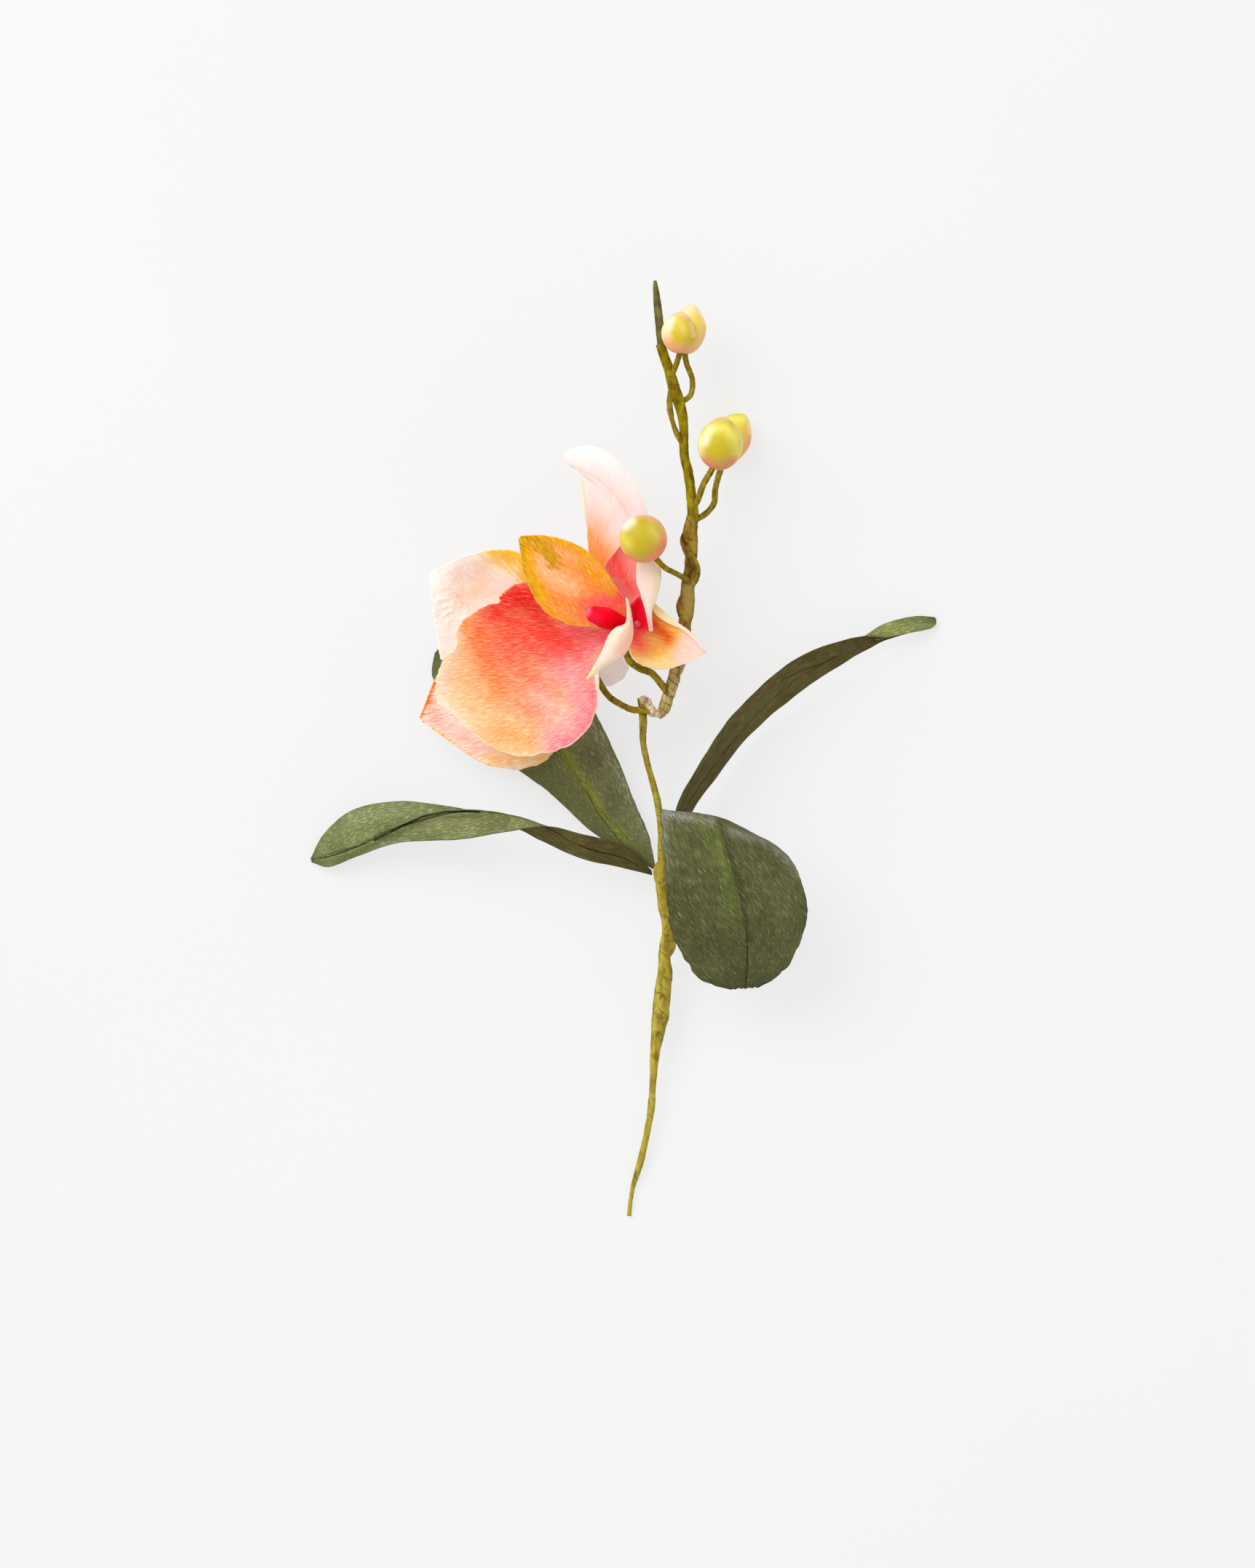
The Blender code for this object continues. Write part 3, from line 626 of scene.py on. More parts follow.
def stem_pieces():
    # Painted shade for the pits where the thin strand winds over the thick one
    winding_shade = (52, 28, 6)
    upper_tape = paper_tape(
        "upper stem tape", (118, 94, 28), (162, 136, 54), (46, 32, 4), pitch=5.2, line=0.8,
        strokes=[
            brush((156, 136, 48), (23.8, 78), (23.8, 69), reach=0.5, soft=0.9, strength=0.8),
            brush((104, 72, 8), (21.8, 73.4), (21.6, 67.4), reach=0.8, soft=1.4, strength=0.85),
            brush((172, 152, 80), (21.6, 55), (21.8, 46.5), reach=1.8, soft=1.4, strength=0.9),
            brush((72, 50, 6), (22.2, 64.6), (22.4, 58.2), reach=0.9, soft=1.4, strength=0.8),
            # Painted shade: dark lines in the valleys where the thin strand crosses the thick one
            brush((84, 62, 18), (20.6, 77), (19.8, 73.4), (20.7, 69.8), (21.5, 67), reach=0.3, soft=0.9,
                ragged=0.5, strength=0.9),
            brush((84, 62, 18), (22.6, 65.8), (20.8, 62.4), (20.4, 59), reach=0.4, soft=0.9, ragged=0.5,
                strength=0.9),
            brush(winding_shade, (19.6, 73.6), (20.4, 71.6), (21.3, 70.4), reach=0.4, soft=0.7, ragged=0.2),
            brush(winding_shade, (23.6, 62), (21.8, 58.6), (19.4, 56.4), reach=0.12, soft=0.6, ragged=0.2,
                strength=0.8),
        ],
    )
    creased_tape = paper_tape(
        "creased stem tape", (164, 144, 76), (194, 176, 116), (62, 44, 14), pitch=2.6, line=1,
        strokes=[
            brush((62, 44, 16), (13.2, 16.6), (16.4, 14.4), reach=0.05, soft=0.28, ragged=0.3),
            brush((62, 44, 16), (14, 20.6), (17.4, 17), reach=0.05, soft=0.28, ragged=0.3),
            brush((62, 44, 16), (15.2, 24.6), (18.6, 21.6), reach=0.05, soft=0.28, ragged=0.3),
            brush((74, 56, 20), (12.4, 12), (14.4, 16), (15.4, 20), reach=0.05, soft=0.3, ragged=0.3),
            brush((74, 50, 18), (19.2, 53), (21.4, 50.6), reach=0.02, soft=0.3, ragged=0.3),
        ],
    )
    lower_tape = paper_tape(
        "lower stem tape", (144, 124, 42), (178, 160, 70), (84, 64, 18), pitch=7, line=0.6,
        yellow=(186, 170, 46), yellows=0.5,
        strokes=[
            brush((190, 172, 60), (10.4, -108), (9.2, -124.5), (5.4, -143), (1.6, -161.2), reach=0.6,
                soft=1.4, strength=0.45),
            brush((74, 54, 14), (11.6, -89), (14.6, -92), reach=0.02, soft=0.3, ragged=0.3),
            brush((74, 54, 14), (10.4, -97), (13.4, -98.6), reach=0.02, soft=0.3, ragged=0.3),
            brush((74, 54, 14), (11.6, -80.4), (15.6, -84), reach=0.02, soft=0.3, ragged=0.3),
            brush((92, 76, 34), (4.2, -145.6), (3.2, -151), reach=0.2, soft=0.8, ragged=0.4, strength=0.7),
            brush((108, 94, 48), (9.8, -114.6), (9.6, -118.4), reach=0.5, soft=1, ragged=0.5, strength=0.7),
        ],
    )
    thin_tape = paper_tape("thin stem tape", (140, 122, 30), (160, 148, 70), (76, 62, 16),
        yellow=(176, 164, 26), yellows=0.8)
    stalk_tape = paper_tape("stalk tape", (124, 102, 16), (150, 130, 40), (62, 44, 6),
        yellow=(170, 156, 28), yellows=0.6, line=0.45)
    top_tape = paper_tape("top stem tape", (118, 96, 6), (138, 120, 16), (62, 44, 2), yellow=(170, 158, 14),
        yellows=0.45, line=0.2)
    kink_tape = paper_tape(
        "kink tape", (206, 176, 122), (250, 238, 212), (96, 60, 26), pitch=0.9, line=1,
        strokes=[
            brush((150, 92, 50), (5.6, 15.4), (8.4, 15), (10.4, 16.2), reach=0.04, soft=0.26, ragged=0.2),
            brush((150, 92, 50), (6, 13.8), (9.6, 13.6), (11, 14.6), reach=0.04, soft=0.26, ragged=0.2),
            brush((140, 84, 46), (7, 12.6), (10, 12.2), (11.8, 13.2), reach=0.04, soft=0.26, ragged=0.2),
            brush((196, 148, 96), (9, 11.4), (11.6, 12), reach=0.5, soft=0.8, ragged=0.3, strength=0.7),
        ],
    )
    tip_tape = paper_tape("dark tape", (84, 80, 36), (112, 108, 66), (42, 40, 16), pitch=4, line=0.3,
        yellow=(120, 110, 34), yellows=0.5)
    stem_wire("stem_lower",
        [(1.6, -161.2, 0.9, 0.75), (2.7, -152.5, 1.6, 0.75), (5.4, -143, 2.6, 1.2), (7.5, -134, 3.7, 1.1),
         (9.2, -124.5, 4.9, 1.25), (9.8, -116, 5.8, 1.15), (10.5, -106, 6.8, 1.6), (11.5, -98, 7.7, 2.3),
         (12.6, -91, 8.4, 3), (13.2, -84, 9, 2.8), (14.1, -77, 9.8, 2.6), (13.8, -71.6, 10.4, 2.1),
         (15, -67.6, 10.8, 2.75), (15, -61, 11.3, 2), (13.6, -53, 12.2, 2.1), (13.2, -45, 13, 2.4),
         (13.1, -39, 13.6, 1.6)], lower_tape, pitch=7, lumps=0.10, ridge=0.10)
    stem_wire("stem_middle",
        [(13.1, -41, 13.5, 1.6), (12.6, -27.5, 14.8, 1.15), (11.2, -17, 16, 1.2), (8.3, -6.2, 17, 1.05),
         (6.5, 2.5, 18, 1.1), (6.5, 10, 18.8, 1.35), (6, 17.6, 19.4, 1.5)], thin_tape, lumps=0.12)
    stem_wire("stem_kink",
        [(5.8, 17.8, 19.8, 1.2), (7.4, 16, 20.4, 1.9), (8.3, 14.4, 20.8, 1.6), (9.6, 12.9, 21, 1.75),
         (11.3, 12.2, 21.2, 1.3), (12.6, 12, 21.3, 1.7)], kink_tape, pitch=0.9, step=0.1, lumps=0.2,
        ridge=0.4, wrinkles=0.35)
    upper = [(12, 11, 21.2, 0.9), (13.6, 13.6, 21.4, 2), (15, 18, 21.6, 2.2), (16.6, 23, 21.8, 2.1),
             (18.3, 28.5, 22, 2.3), (20.3, 36, 22.2, 2.4), (20.9, 43.5, 22.5, 2.9), (21, 50, 22.8, 3.2),
             (22.1, 56, 23, 3), (23.3, 62, 23.2, 2.9), (22.8, 67.5, 23.4, 2.8), (22.2, 73, 23.6, 3.1),
             (23.6, 80, 23.8, 2.1)]
    stem_wire("stem_creased", [*upper[:6], (20.8, 41, 22.4, 1.6)], creased_tape, pitch=2.8, lumps=0.12,
        ridge=0.24, wrinkles=0.14)
    thick, thin = twisted(upper[5:], pitch=22, turn=0.5, at=71.3)
    stem_wire("stem_upper", thick, upper_tape, pitch=5.2, lumps=0.09, ridge=0.14, wrinkles=0.12)
    stem_wire("stem_wound", thin, upper_tape, pitch=4.2, lumps=0.12, ridge=0.12, wrinkles=0.12)
    stem_wire("stem_side_strand",
        [(15.9, 123.4, 25.6, 0.8), (15.6, 119.6, 26.2, 1), (15.8, 116.2, 26.4, 1), (16.8, 112, 26.2, 0.85),
         (18.2, 108.2, 25.8, 0.95), (20.4, 103.8, 24.8, 0.7)], stalk_tape, pitch=3, sides=16, lumps=0.15,
        ridge=0.10)
    stem_wire("stem_top",
        [(23.4, 78, 23.8, 2.1), (23.7, 81, 23.8, 1.9), (23, 87, 24, 1.75), (22.1, 94.5, 24.2, 1.65),
         (20.6, 101.5, 24.4, 1.6), (20.5, 109, 24.6, 1.5), (19.8, 116, 24.8, 1.8), (17.6, 122.5, 25.2, 2.1),
         (15.3, 130.5, 25.8, 1.75), (12.3, 139.4, 26.4, 1.6)], top_tape, pitch=6, lumps=0.10, ridge=0.10)
    wire("stem_tip_taper", "stem_tip", "dark_tape",
        [(12.8, 136.6, 25, 1), (12.6, 139.6, 25.2, 1.35), (12.1, 146, 25.4, 1.45), (11.3, 154, 25.3, 1.3),
         (10.8, 158.6, 25.2, 0.95), (10.5, 161.2, 25.2, 0.5)], tip_tape, pitch=4)
    stalks = {
        "stalk_front_bloom": [(14.6, 20, 22.5, 1.25), (9.6, 26, 26.5, 1.2), (5.6, 27.6, 29.5, 1.25),
            (2, 30.2, 32, 1.25), (0, 34.5, 33.8, 1.3), (-1, 39.5, 36.5, 1.5), (-2, 40.6, 38.2, 2.6)],
        "stalk_back_bloom": [(10, 12.6, 21.6, 1.1), (6.4, 13.4, 22.2, 1.1), (2.8, 13.6, 21.4, 1.1),
            (-1.2, 15.4, 18.6, 1.1), (-4.6, 17.6, 15.8, 1.1), (-7.2, 20.6, 13.6, 1.1),
            (-9.6, 25, 12.6, 1.1), (-13.2, 31, 12.4, 1.2), (-16.6, 36, 13.2, 1.8)],
        "stalk_near_bud": [(22.4, 57.6, 24, 1.1), (19.4, 59.4, 32, 0.95), (16.6, 60.8, 41, 0.95),
            (13.8, 62.2, 48.6, 0.95), (10.9, 65.2, 52.7, 1), (9.6, 67, 54.4, 0.9)],
        "stalk_middle_bud": [(23.6, 82.5, 24.2, 1.1), (25.6, 86.6, 26, 1.1), (27.2, 91, 28.4, 1.1),
            (29.6, 95.2, 31.2, 1.1), (31.2, 98.2, 33, 1)],
        "stalk_middle_back_bud": [(23.2, 78.6, 23.6, 1.1), (27.4, 80.6, 20.2, 1.05),
            (30.8, 84.6, 15.2, 1.05), (31.4, 90, 10.4, 1.05), (33.4, 97.4, 7, 1.05), (34.6, 100.6, 6.4, 1)],
        "stalk_top_bud": [(15.8, 127.5, 25.2, 1), (17.6, 131.6, 27.6, 0.95), (18.9, 135.6, 30, 1),
            (19.2, 138, 31.2, 0.9)],
        "stalk_top_back_bud": [(18.6, 119, 24.8, 1), (22.6, 121.6, 23.4, 0.95), (23.4, 127, 21.6, 0.95),
            (21.4, 133, 20, 1), (20.9, 136.5, 19.6, 1), (21.2, 139.2, 19.8, 0.9)],
    }
    for name, route in stalks.items():
        stem_wire(name, route, stalk_tape, pitch=3, sides=20, lumps=0.10, ridge=0.08)
    stem_wire("leaf_knot",
        [(12.6, -46.5, 13, 1.9), (12.9, -44, 13.2, 2.8), (13.1, -41, 13.4, 3), (13.2, -38.4, 13.6, 1.7)],
        lower_tape, pitch=2.6, ridge=0.16)


# Moulded buds and columns

def satin(name, ground, strokes, roughness=0.45, gloss=0.3, specks=0.10):
    """Smooth moulded paper with dye flushed over it; some strokes are painted highlights."""
    made, tree, shader = new_material(name, roughness)
    place = place_in_mm(tree)
    wander = sums(tree, "MULTIPLY", sums(tree, "SUBTRACT", cloudy(tree, place, 0.22), 0.5), 2.0)
    colour = brushed(tree, dye(*ground), strokes, {"top": seen_from_top(tree)}, wander)
    speck = ramped(tree, cloudy(tree, place, 1.6, 4.0, 0.7), 0.5, 0.75)
    colour = covered(tree, speck, specks, colour, (255, 240, 200))
    put(tree, shader.inputs["Base Color"], colour)
    shader.inputs["Specular IOR Level"].default_value = gloss
    bumped(tree, shader, cloudy(tree, place, 1.1, 4.0), 0.03)
    return made


def moulded(name, node, slot, centre, radii, point, lean, finish, seams=3, seam=0.02):
    """An egg drawn out along lean, with shallow seams where its sepals meet."""
    bm = bmesh.new()
    bmesh.ops.create_uvsphere(bm, u_segments=56, v_segments=40, radius=1.0)
    turn = Vector((0, 0, 1)).rotation_difference(Vector(lean)).to_matrix()
    for vert in bm.verts:
        height = vert.co.z
        taper = 1 - point * max(height, 0) ** 2
        around = math.atan2(vert.co.y, vert.co.x)
        crease = 0.0
        for i in range(seams):
            gap = math.remainder(around - i * math.tau / seams - 0.6, math.tau)
            crease += eased(gap, 0.0, 0.09) * max(0.0, height + 0.3)
        shape = Vector((vert.co.x * radii[0], vert.co.y * radii[1], height * radii[2]))
        shape.x *= taper * (1 - seam * crease)
        shape.y *= taper * (1 - seam * crease)
        dent = 1 + 0.012 * noise.noise(vert.co * 1.7 + Vector(centre))
        vert.co = (turn @ shape * dent + Vector(centre)) * MM
    for face in bm.faces:
        face.smooth = True
    finished(name, bm, node, slot, finish)


def bud(node, centre, radii, point, lean, ground, *strokes):
    """A moulded bud, named after its solid."""
    finish = satin(node[4:].replace("_", " ") + " bud", ground, strokes, gloss=0.2)
    moulded(node + "_moulded", node, "bud", centre, radii, point, lean, finish)


def column(node, route, finish):
    """The smooth red column at the heart of a bloom."""
    wire(node + "_moulded", node, "column_red", route, finish, sides=32, step=0.25, lumps=0.03, ridge=0.0,
         wrinkles=0.0)


def bud_pieces():
    flush = (238, 126, 98)
    bud("bud_near", (6.4, 72, 57), (8.2, 8.2, 8.6), 0.12, (-0.35, 0.55, 0.75), (184, 162, 28),
        brush((222, 204, 84), (-1, 73), (1, 70), reach=0.8, soft=3.2),
        brush((220, 200, 92), (9.6, 75), (12, 72), reach=0.8, soft=3.2),
        brush((230, 196, 108), (-2.4, 72), (0, 66), reach=0.6, soft=2),
        brush((230, 146, 104), (1, 65), (6, 63), (10, 63.4), reach=1.4, soft=2),
        brush(flush, (15.4, 73), (14, 67.6), (10, 63.6), reach=2.4, soft=3.2),
        brush((208, 92, 84), (15, 70), (12.6, 65), reach=0.9, soft=2.2, strength=0.7),
        brush((240, 172, 130), (1, 80.4), (7, 81), (12.6, 78), (15.2, 73), reach=1, soft=2),
        # Painted highlight at the bud's upper left
        brush((255, 236, 218), (0.2, 76.4), (2.2, 78.2), reach=1.1, soft=2.2))
    bud("bud_middle", (33, 105, 33.6), (7.9, 7.6, 9.2), 0.30, (0.1, 0.97, 0.1), (186, 168, 22),
        brush((238, 222, 108), (29.5, 110.6), (34.5, 110.4), (38.4, 106.4), (38.8, 101.5), reach=1.2,
            soft=3.4),
        brush((246, 226, 160), (25.4, 108), (25.8, 101), reach=1, soft=2.4),
        # Painted highlight at the bud's upper left
        brush((255, 240, 196), (29, 109.6), (27.6, 105), reach=0.7, soft=2.2),
        brush((218, 130, 100), (28, 98.4), (32.6, 95.6), (37.4, 98), reach=2, soft=2.8),
        brush((250, 222, 164), (38, 111.4), (40.6, 106), (39.6, 100), reach=0.3, soft=1.2, ragged=0.4,
            strength=0.7),
        brush((244, 178, 138), (38, 112.8), (32, 114.2), (27.6, 111.6), reach=0.4, soft=1.1))
    bud("bud_middle_back", (36.4, 107.2, 7.2), (7.3, 6.9, 9.8), 0.30, (0.52, 0.854, 0), (214, 198, 54),
        brush((238, 230, 110), (34.6, 114), (41, 114), reach=1, soft=2.6),
        brush((236, 156, 112), (44.4, 110), (43.4, 105), (42, 100), (38, 96.6), reach=2, soft=2.8),
        brush((250, 218, 140), (43.4, 109), (43, 115), reach=0.4, soft=1.2))
    bud("bud_top", (18.8, 143.2, 31.8), (6.1, 5.8, 7.2), 0.35, (0.05, 0.98, 0.1), (196, 172, 32),
        brush((224, 200, 92), (19, 146.6), (21, 143), reach=0.6, soft=3),
        brush((248, 214, 180), (14.4, 147), (13.4, 141.6), reach=1.8, soft=2.2),
        # Painted highlight at the bud's upper left
        brush((255, 238, 214), (17, 148.4), (15.4, 144.8), reach=0.6, soft=1.8, strength=0.7),
        brush((236, 158, 122), (14, 139.6), (17, 137), (22, 137), reach=1.6, soft=2.6),
        brush((246, 206, 150), (23, 147), (24, 142.4), reach=0.5, soft=1.2),
        brush((244, 198, 160), (22, 148.6), (18, 150.4), reach=0.8, soft=1.4))
    bud("bud_top_back", (22.2, 144.8, 20.2), (6, 5.4, 8.8), 0.50, (0.12, 0.98, 0), (232, 202, 84),
        brush((254, 214, 176), (20, 149), (23.6, 153), reach=1.6, soft=2.8),
        brush((240, 214, 92), (25.6, 147), (26.4, 143), reach=0.6, soft=2),
        brush((244, 184, 138), (27.6, 142.4), (26, 138.4), (22, 136.4), reach=1.4, soft=2.2),
        brush((252, 216, 176), (25, 153), (27.8, 147), reach=0.6, soft=1.2))


def column_pieces():
    crimson = satin(
        "column crimson", (226, 0, 24),
        [
            brush((228, 30, 66), (-9.6, 44.6), (-12.4, 46), reach=1, soft=2.4),
            # Pink tip: partly the column's own colour, partly a painted highlight
            brush((240, 122, 160), (-13, 46.6), (-12.8, 48.4), reach=0.5, soft=1.7),
            brush((168, 0, 20), (0.5, 43), (-3, 42), reach=0.6, soft=2.4, strength=0.8),
            brush((240, 30, 52), (-4, 47.6), (-9, 48.8), reach=0.3, soft=1.2),
        ],
        roughness=0.5, gloss=0.05, specks=0,
    )
    route = [(0.6, 42.4, 43, 2.4), (-3, 43.6, 45, 3.3), (-6.5, 44.9, 46.6, 3.7), (-9.2, 45.8, 47.6, 3.2),
             (-11, 46.2, 48.2, 2.75), (-12.2, 46.4, 48.5, 2.1), (-12.9, 46.5, 48.6, 0.6)]
    column("front_column", route, crimson)
    back = satin("back column crimson", (226, 0, 22),
        [brush((236, 96, 140), (-29.5, 42), reach=1.6, soft=2)], roughness=0.5, gloss=0.12, specks=0)
    back_route = [(-18.3, 38.2, 17.5, 1.6), (-21.4, 39.8, 19.2, 2.4), (-25, 41, 21.4, 2.9),
        (-28, 41.7, 23, 3.1), (-29.8, 42.1, 23.9, 2.4), (-30.8, 42.3, 24.4, 0.6)]
    column("back_column", back_route, back)


# Leaves

def leaf_crepe(name, ground, light, dark, strokes=(), flecks=0.5, fleck=(150, 158, 84),
               rib=(116, 148, 66), ribs=0.7, lines=3.0, streak=2.0):
    """Grey-green crepe, brighter beside its rib, with a grain that shows."""
    made, tree, shader = new_material(name, 0.7)
    sheet, places, crepe = crepe_maps(tree, lines, streak)
    top = places["top"]
    blotch = ramped(tree, cloudy(tree, top, 0.07, 4.0, 0.6), 0.36, 0.66)
    colour = tinted(tree, blotch, dye(*ground), dye(*light))
    parts = add(tree, "ShaderNodeSeparateXYZ")
    put(tree, parts.inputs[0], sheet)
    off_rib = sums(tree, "ABSOLUTE", sums(tree, "SUBTRACT", parts.outputs[0], 0.5))
    patchy = ramped(tree, cloudy(tree, top, 0.12, 3.0), 0.35, 0.6)
    glow = sums(tree, "MULTIPLY", ramped(tree, off_rib, 0.16, 0.0), patchy)
    colour = covered(tree, glow, ribs, colour, rib)
    colour = brushed(tree, colour, strokes, places, crepe["Wander"])
    colour = covered(tree, crepe["Flecks"], flecks, colour, fleck)
    low = sums(tree, "SUBTRACT", 1.0, crepe["Ridges"])
    colour = covered(tree, low, 0.55, colour, dark)
    colour = rimmed(tree, sheet, crepe, 0.5, colour, dark)
    put(tree, shader.inputs["Base Color"], colour)
    shader.inputs["Sheen Weight"].default_value = 0.02
    shader.inputs["Specular IOR Level"].default_value = 0.10
    bumped(tree, shader, crepe["Ridges"], 0.22)
    return made


def leaf_pieces():
    # Painted shadow along the leaves' folds and creases, where one half overlaps the other or the paper
    # turns in
    crease_shade = (26, 28, 10)
    under = leaf_crepe("leaf underside", (94, 84, 36), (118, 106, 56), (50, 42, 14), fleck=(140, 126, 72),
        ribs=0.25, rib=(124, 112, 56), streak=6)
    left_top = leaf_crepe(
        "left leaf", (126, 132, 80), (158, 164, 110), (66, 70, 36), fleck=(172, 178, 128), flecks=0.24,
        ribs=0.3, lines=3.9, streak=1.8,
        strokes=[
            brush((156, 164, 112), (-94, -24), (-74, -20.4), (-60, -19.8), reach=2.6, soft=2.6, ragged=0.6),
            # Painted shade just below the fold
            brush((84, 88, 46), (-90, -34.4), (-78, -28.6), (-66, -23.4), (-50, -23), reach=0.6, soft=1.4,
                ragged=0.3, strength=0.7),
            # Painted highlights on the ridge below the fold
            brush((150, 152, 100), (-70, -27.4), (-56, -25.4), reach=0.8, soft=1.8, ragged=0.6,
                strength=0.8),
            brush((196, 198, 158), (-84, -33.4), (-76, -31.4), reach=0.4, soft=1.6, ragged=0.6,
                strength=0.7),
            brush(crease_shade, (-108, -38.2), (-100, -35.4), (-91.5, -33.4), (-84, -30.4), reach=0.1,
                soft=0.3, ragged=0.05, strength=0.9),
            # Painted shadow in the gap under the fold
            brush((16, 18, 6), (-86, -31.3), (-82, -29.4), (-76, -26.2), (-69.4, -23.2), (-61.5, -21.6),
                (-54.8, -21.4), (-50, -21.6), reach=0.42, soft=0.22, ragged=0.04),
            brush(crease_shade, (-50, -21.6), (-40, -22.6), (-32, -24.6), (-25, -26.8), reach=0.1, soft=0.35,
                ragged=0.05, strength=0.9),
            brush((92, 66, 34), (10, 0), (10, 10), reach=0.12, soft=0.2, ragged=0.05, on="sheet"),
        ],
    )
    crepe_sheet(
        "leaf_left", "leaf",
        [
            [(9.6, -43.4, 13.4), (-1, -40.8, 14), (-14.5, -37.8, 15.5), (-27.5, -32, 15.5), (-40, -26, 15),
             (-56.5, -20.5, 15.5), (-77, -17.8, 15.5), (-93, -20.4, 12), (-103.5, -29, 6.5),
             (-108.2, -37.6, 2.2)],
            [(9.5, -42.6, 13.8), (-0.6, -37.5, 16), (-14.5, -33.5, 18.7), (-27.5, -26.4, 20.4),
             (-40.5, -22.4, 20.1), (-56.5, -21.4, 17.6), (-77.5, -27, 13.6), (-91.5, -33.5, 9.6),
             (-102, -37.2, 5.1), (-108.4, -38.2, 1.8)],
            [(9.4, -41.8, 14.2), (0.6, -33.6, 18.4), (-14.5, -29.2, 22.5), (-27.5, -26.6, 24),
             (-40.5, -28.6, 21.5), (-56.5, -31.2, 17.6), (-77, -32.3, 13.4), (-91, -36.6, 8.8),
             (-101.5, -40.6, 4.5), (-108, -38.9, 1.6)],
        ],
        left_top, (190, 60), under=under, fold=0.5, crumple=0.25, groove=1.5,
    )
    back_top = leaf_crepe(
        "back leaf", (132, 134, 90), (158, 162, 108), (64, 64, 36), fleck=(176, 180, 122), flecks=0.34,
        ribs=0.9, rib=(168, 176, 70), lines=3.6, streak=1.9,
        strokes=[
            brush((138, 144, 88), (2.2, 0), (2.2, 10), reach=2.3, soft=0.5, ragged=0.1, strength=0.8,
                on="sheet"),
            brush((222, 224, 208), (9.4, 1), (9.4, 6), reach=0.02, soft=0.14, ragged=1.6, strength=0.45,
                on="sheet"),
            brush((166, 172, 112), (-22, -5), (-13, -9.6), reach=1.6, soft=3.6, strength=0.7),
            brush((178, 186, 66), (-30, 12), (-19, -2.8), (-13.4, -12.1), (-8, -21.4), (-0.3, -31.6),
                reach=0.5, soft=1.9, ragged=1.4),
            brush(crease_shade, (-13, -14.6), (-9.4, -21.6), (-1.6, -31.8), (4, -37), reach=0.12, soft=0.35,
                ragged=0.1),
        ],
    )
    crepe_sheet(
        "leaf_back", "leaf",
        [
            [(9.9, -41.4, 11.6), (-10.6, -29, 7.6), (-25.2, -15.6, 5.4), (-37, -7, 4), (-50, 4.6, 2.8),
             (-60.4, 15, 2), (-66.4, 25, 1.4), (-65.4, 33.6, 1.1)],
            [(10.2, -40.6, 11.4), (0.5, -30, 7.8), (-9.5, -19.5, 5.2), (-19.5, -5, 3.6), (-31, 10, 2.4),
             (-43, 22, 1.7), (-55, 30, 1.3), (-64.6, 35, 1.1)],
            [(10.6, -39.9, 11.6), (8.6, -29.8, 8.8), (3.8, -18.4, 7), (-2.6, -2, 5.6), (-11, 14, 4.2),
             (-26, 30, 3.1), (-45, 38.6, 2), (-63.4, 36.4, 1.2)],
        ],
        back_top, (140, 70), under=under, fold=0.6, crumple=0.15, groove=0.8,
    )
    right_top = leaf_crepe(
        "right leaf", (152, 154, 94), (176, 180, 116), (84, 90, 48), fleck=(182, 188, 126), flecks=0.35,
        ribs=0.3,
        strokes=[
            brush((172, 186, 84), (90, 41.6), (97, 42), reach=0.6, soft=1.6, ragged=0.4),
            brush((120, 126, 76), (94, 44.4), (101, 45), (108.4, 44.6), reach=1.2, soft=1.6, ragged=0.6,
                strength=0.75),
            brush((66, 64, 32), (105.6, 45.6), (108.6, 44), reach=0.5, soft=1.2, ragged=0.3, strength=0.8),
            brush(crease_shade, (99, 40.6), (105.4, 42.2), reach=0.08, soft=0.25, ragged=0.05),
        ],
    )
    right_under = leaf_crepe(
        "right leaf underside", (100, 86, 30), (118, 102, 46), (46, 38, 12), fleck=(132, 120, 66), ribs=0,
        streak=3,
        strokes=[
            brush((108, 102, 78), (3.6, 1), (3.6, 8), reach=0.5, soft=1.2, ragged=0.3, strength=0.6,
                on="sheet"),
            brush((104, 122, 56), (0, 0), (0, 2.4), reach=0.9, soft=1, ragged=0.2, strength=0.8,
                on="sheet"),
            brush((104, 118, 58), (17, -34), (20, -24), reach=0.8, soft=1.6, ragged=0.3, strength=0.7),
            brush(crease_shade, (20.4, -19), (25, -6), (29, 2.4), reach=0.1, soft=0.35, ragged=0.1),
            brush(crease_shade, (54, 23.6), (61, 27.2), (68, 29.4), (73, 32), reach=0.14, soft=0.4,
                ragged=0.1),
            brush(crease_shade, (34, -2), (38.4, 3.4), reach=0.05, soft=0.3, ragged=0.1, strength=0.7),
        ],
    )
    crepe_sheet(
        "leaf_right", "leaf",
        [
            [(15.6, -39.3, 14.9), (18, -20, 19.5), (25.2, -6.2, 21.5), (36.4, 10.8, 22.5), (52, 26, 21),
             (66, 34.6, 17), (83, 39.2, 9.8), (93, 40.4, 5.4), (101.6, 42.8, 2.4), (107, 44.2, 1.3)],
            [(15.9, -39.6, 14.3), (20, -22, 13), (28.6, -8.6, 13), (40.6, 7, 13), (55.6, 21.6, 12.6),
             (69.8, 30.4, 11), (84.6, 37.2, 7.4), (93.6, 39.6, 5), (102, 42, 2.3), (107.1, 43.8, 1.2)],
            [(16.2, -40, 13.7), (22.6, -23, 7.6), (32.6, -8.4, 5.6), (44.4, 6, 4.6), (59.6, 18.9, 4.4),
             (73.6, 28.4, 4.6), (86, 35.8, 5), (94, 38.8, 4.4), (102, 41.2, 2.2), (106.8, 43.2, 1.2)],
        ],
        right_under, (190, 50), under=right_top, fold=0.3, crumple=0.3, groove=0.5,
    )
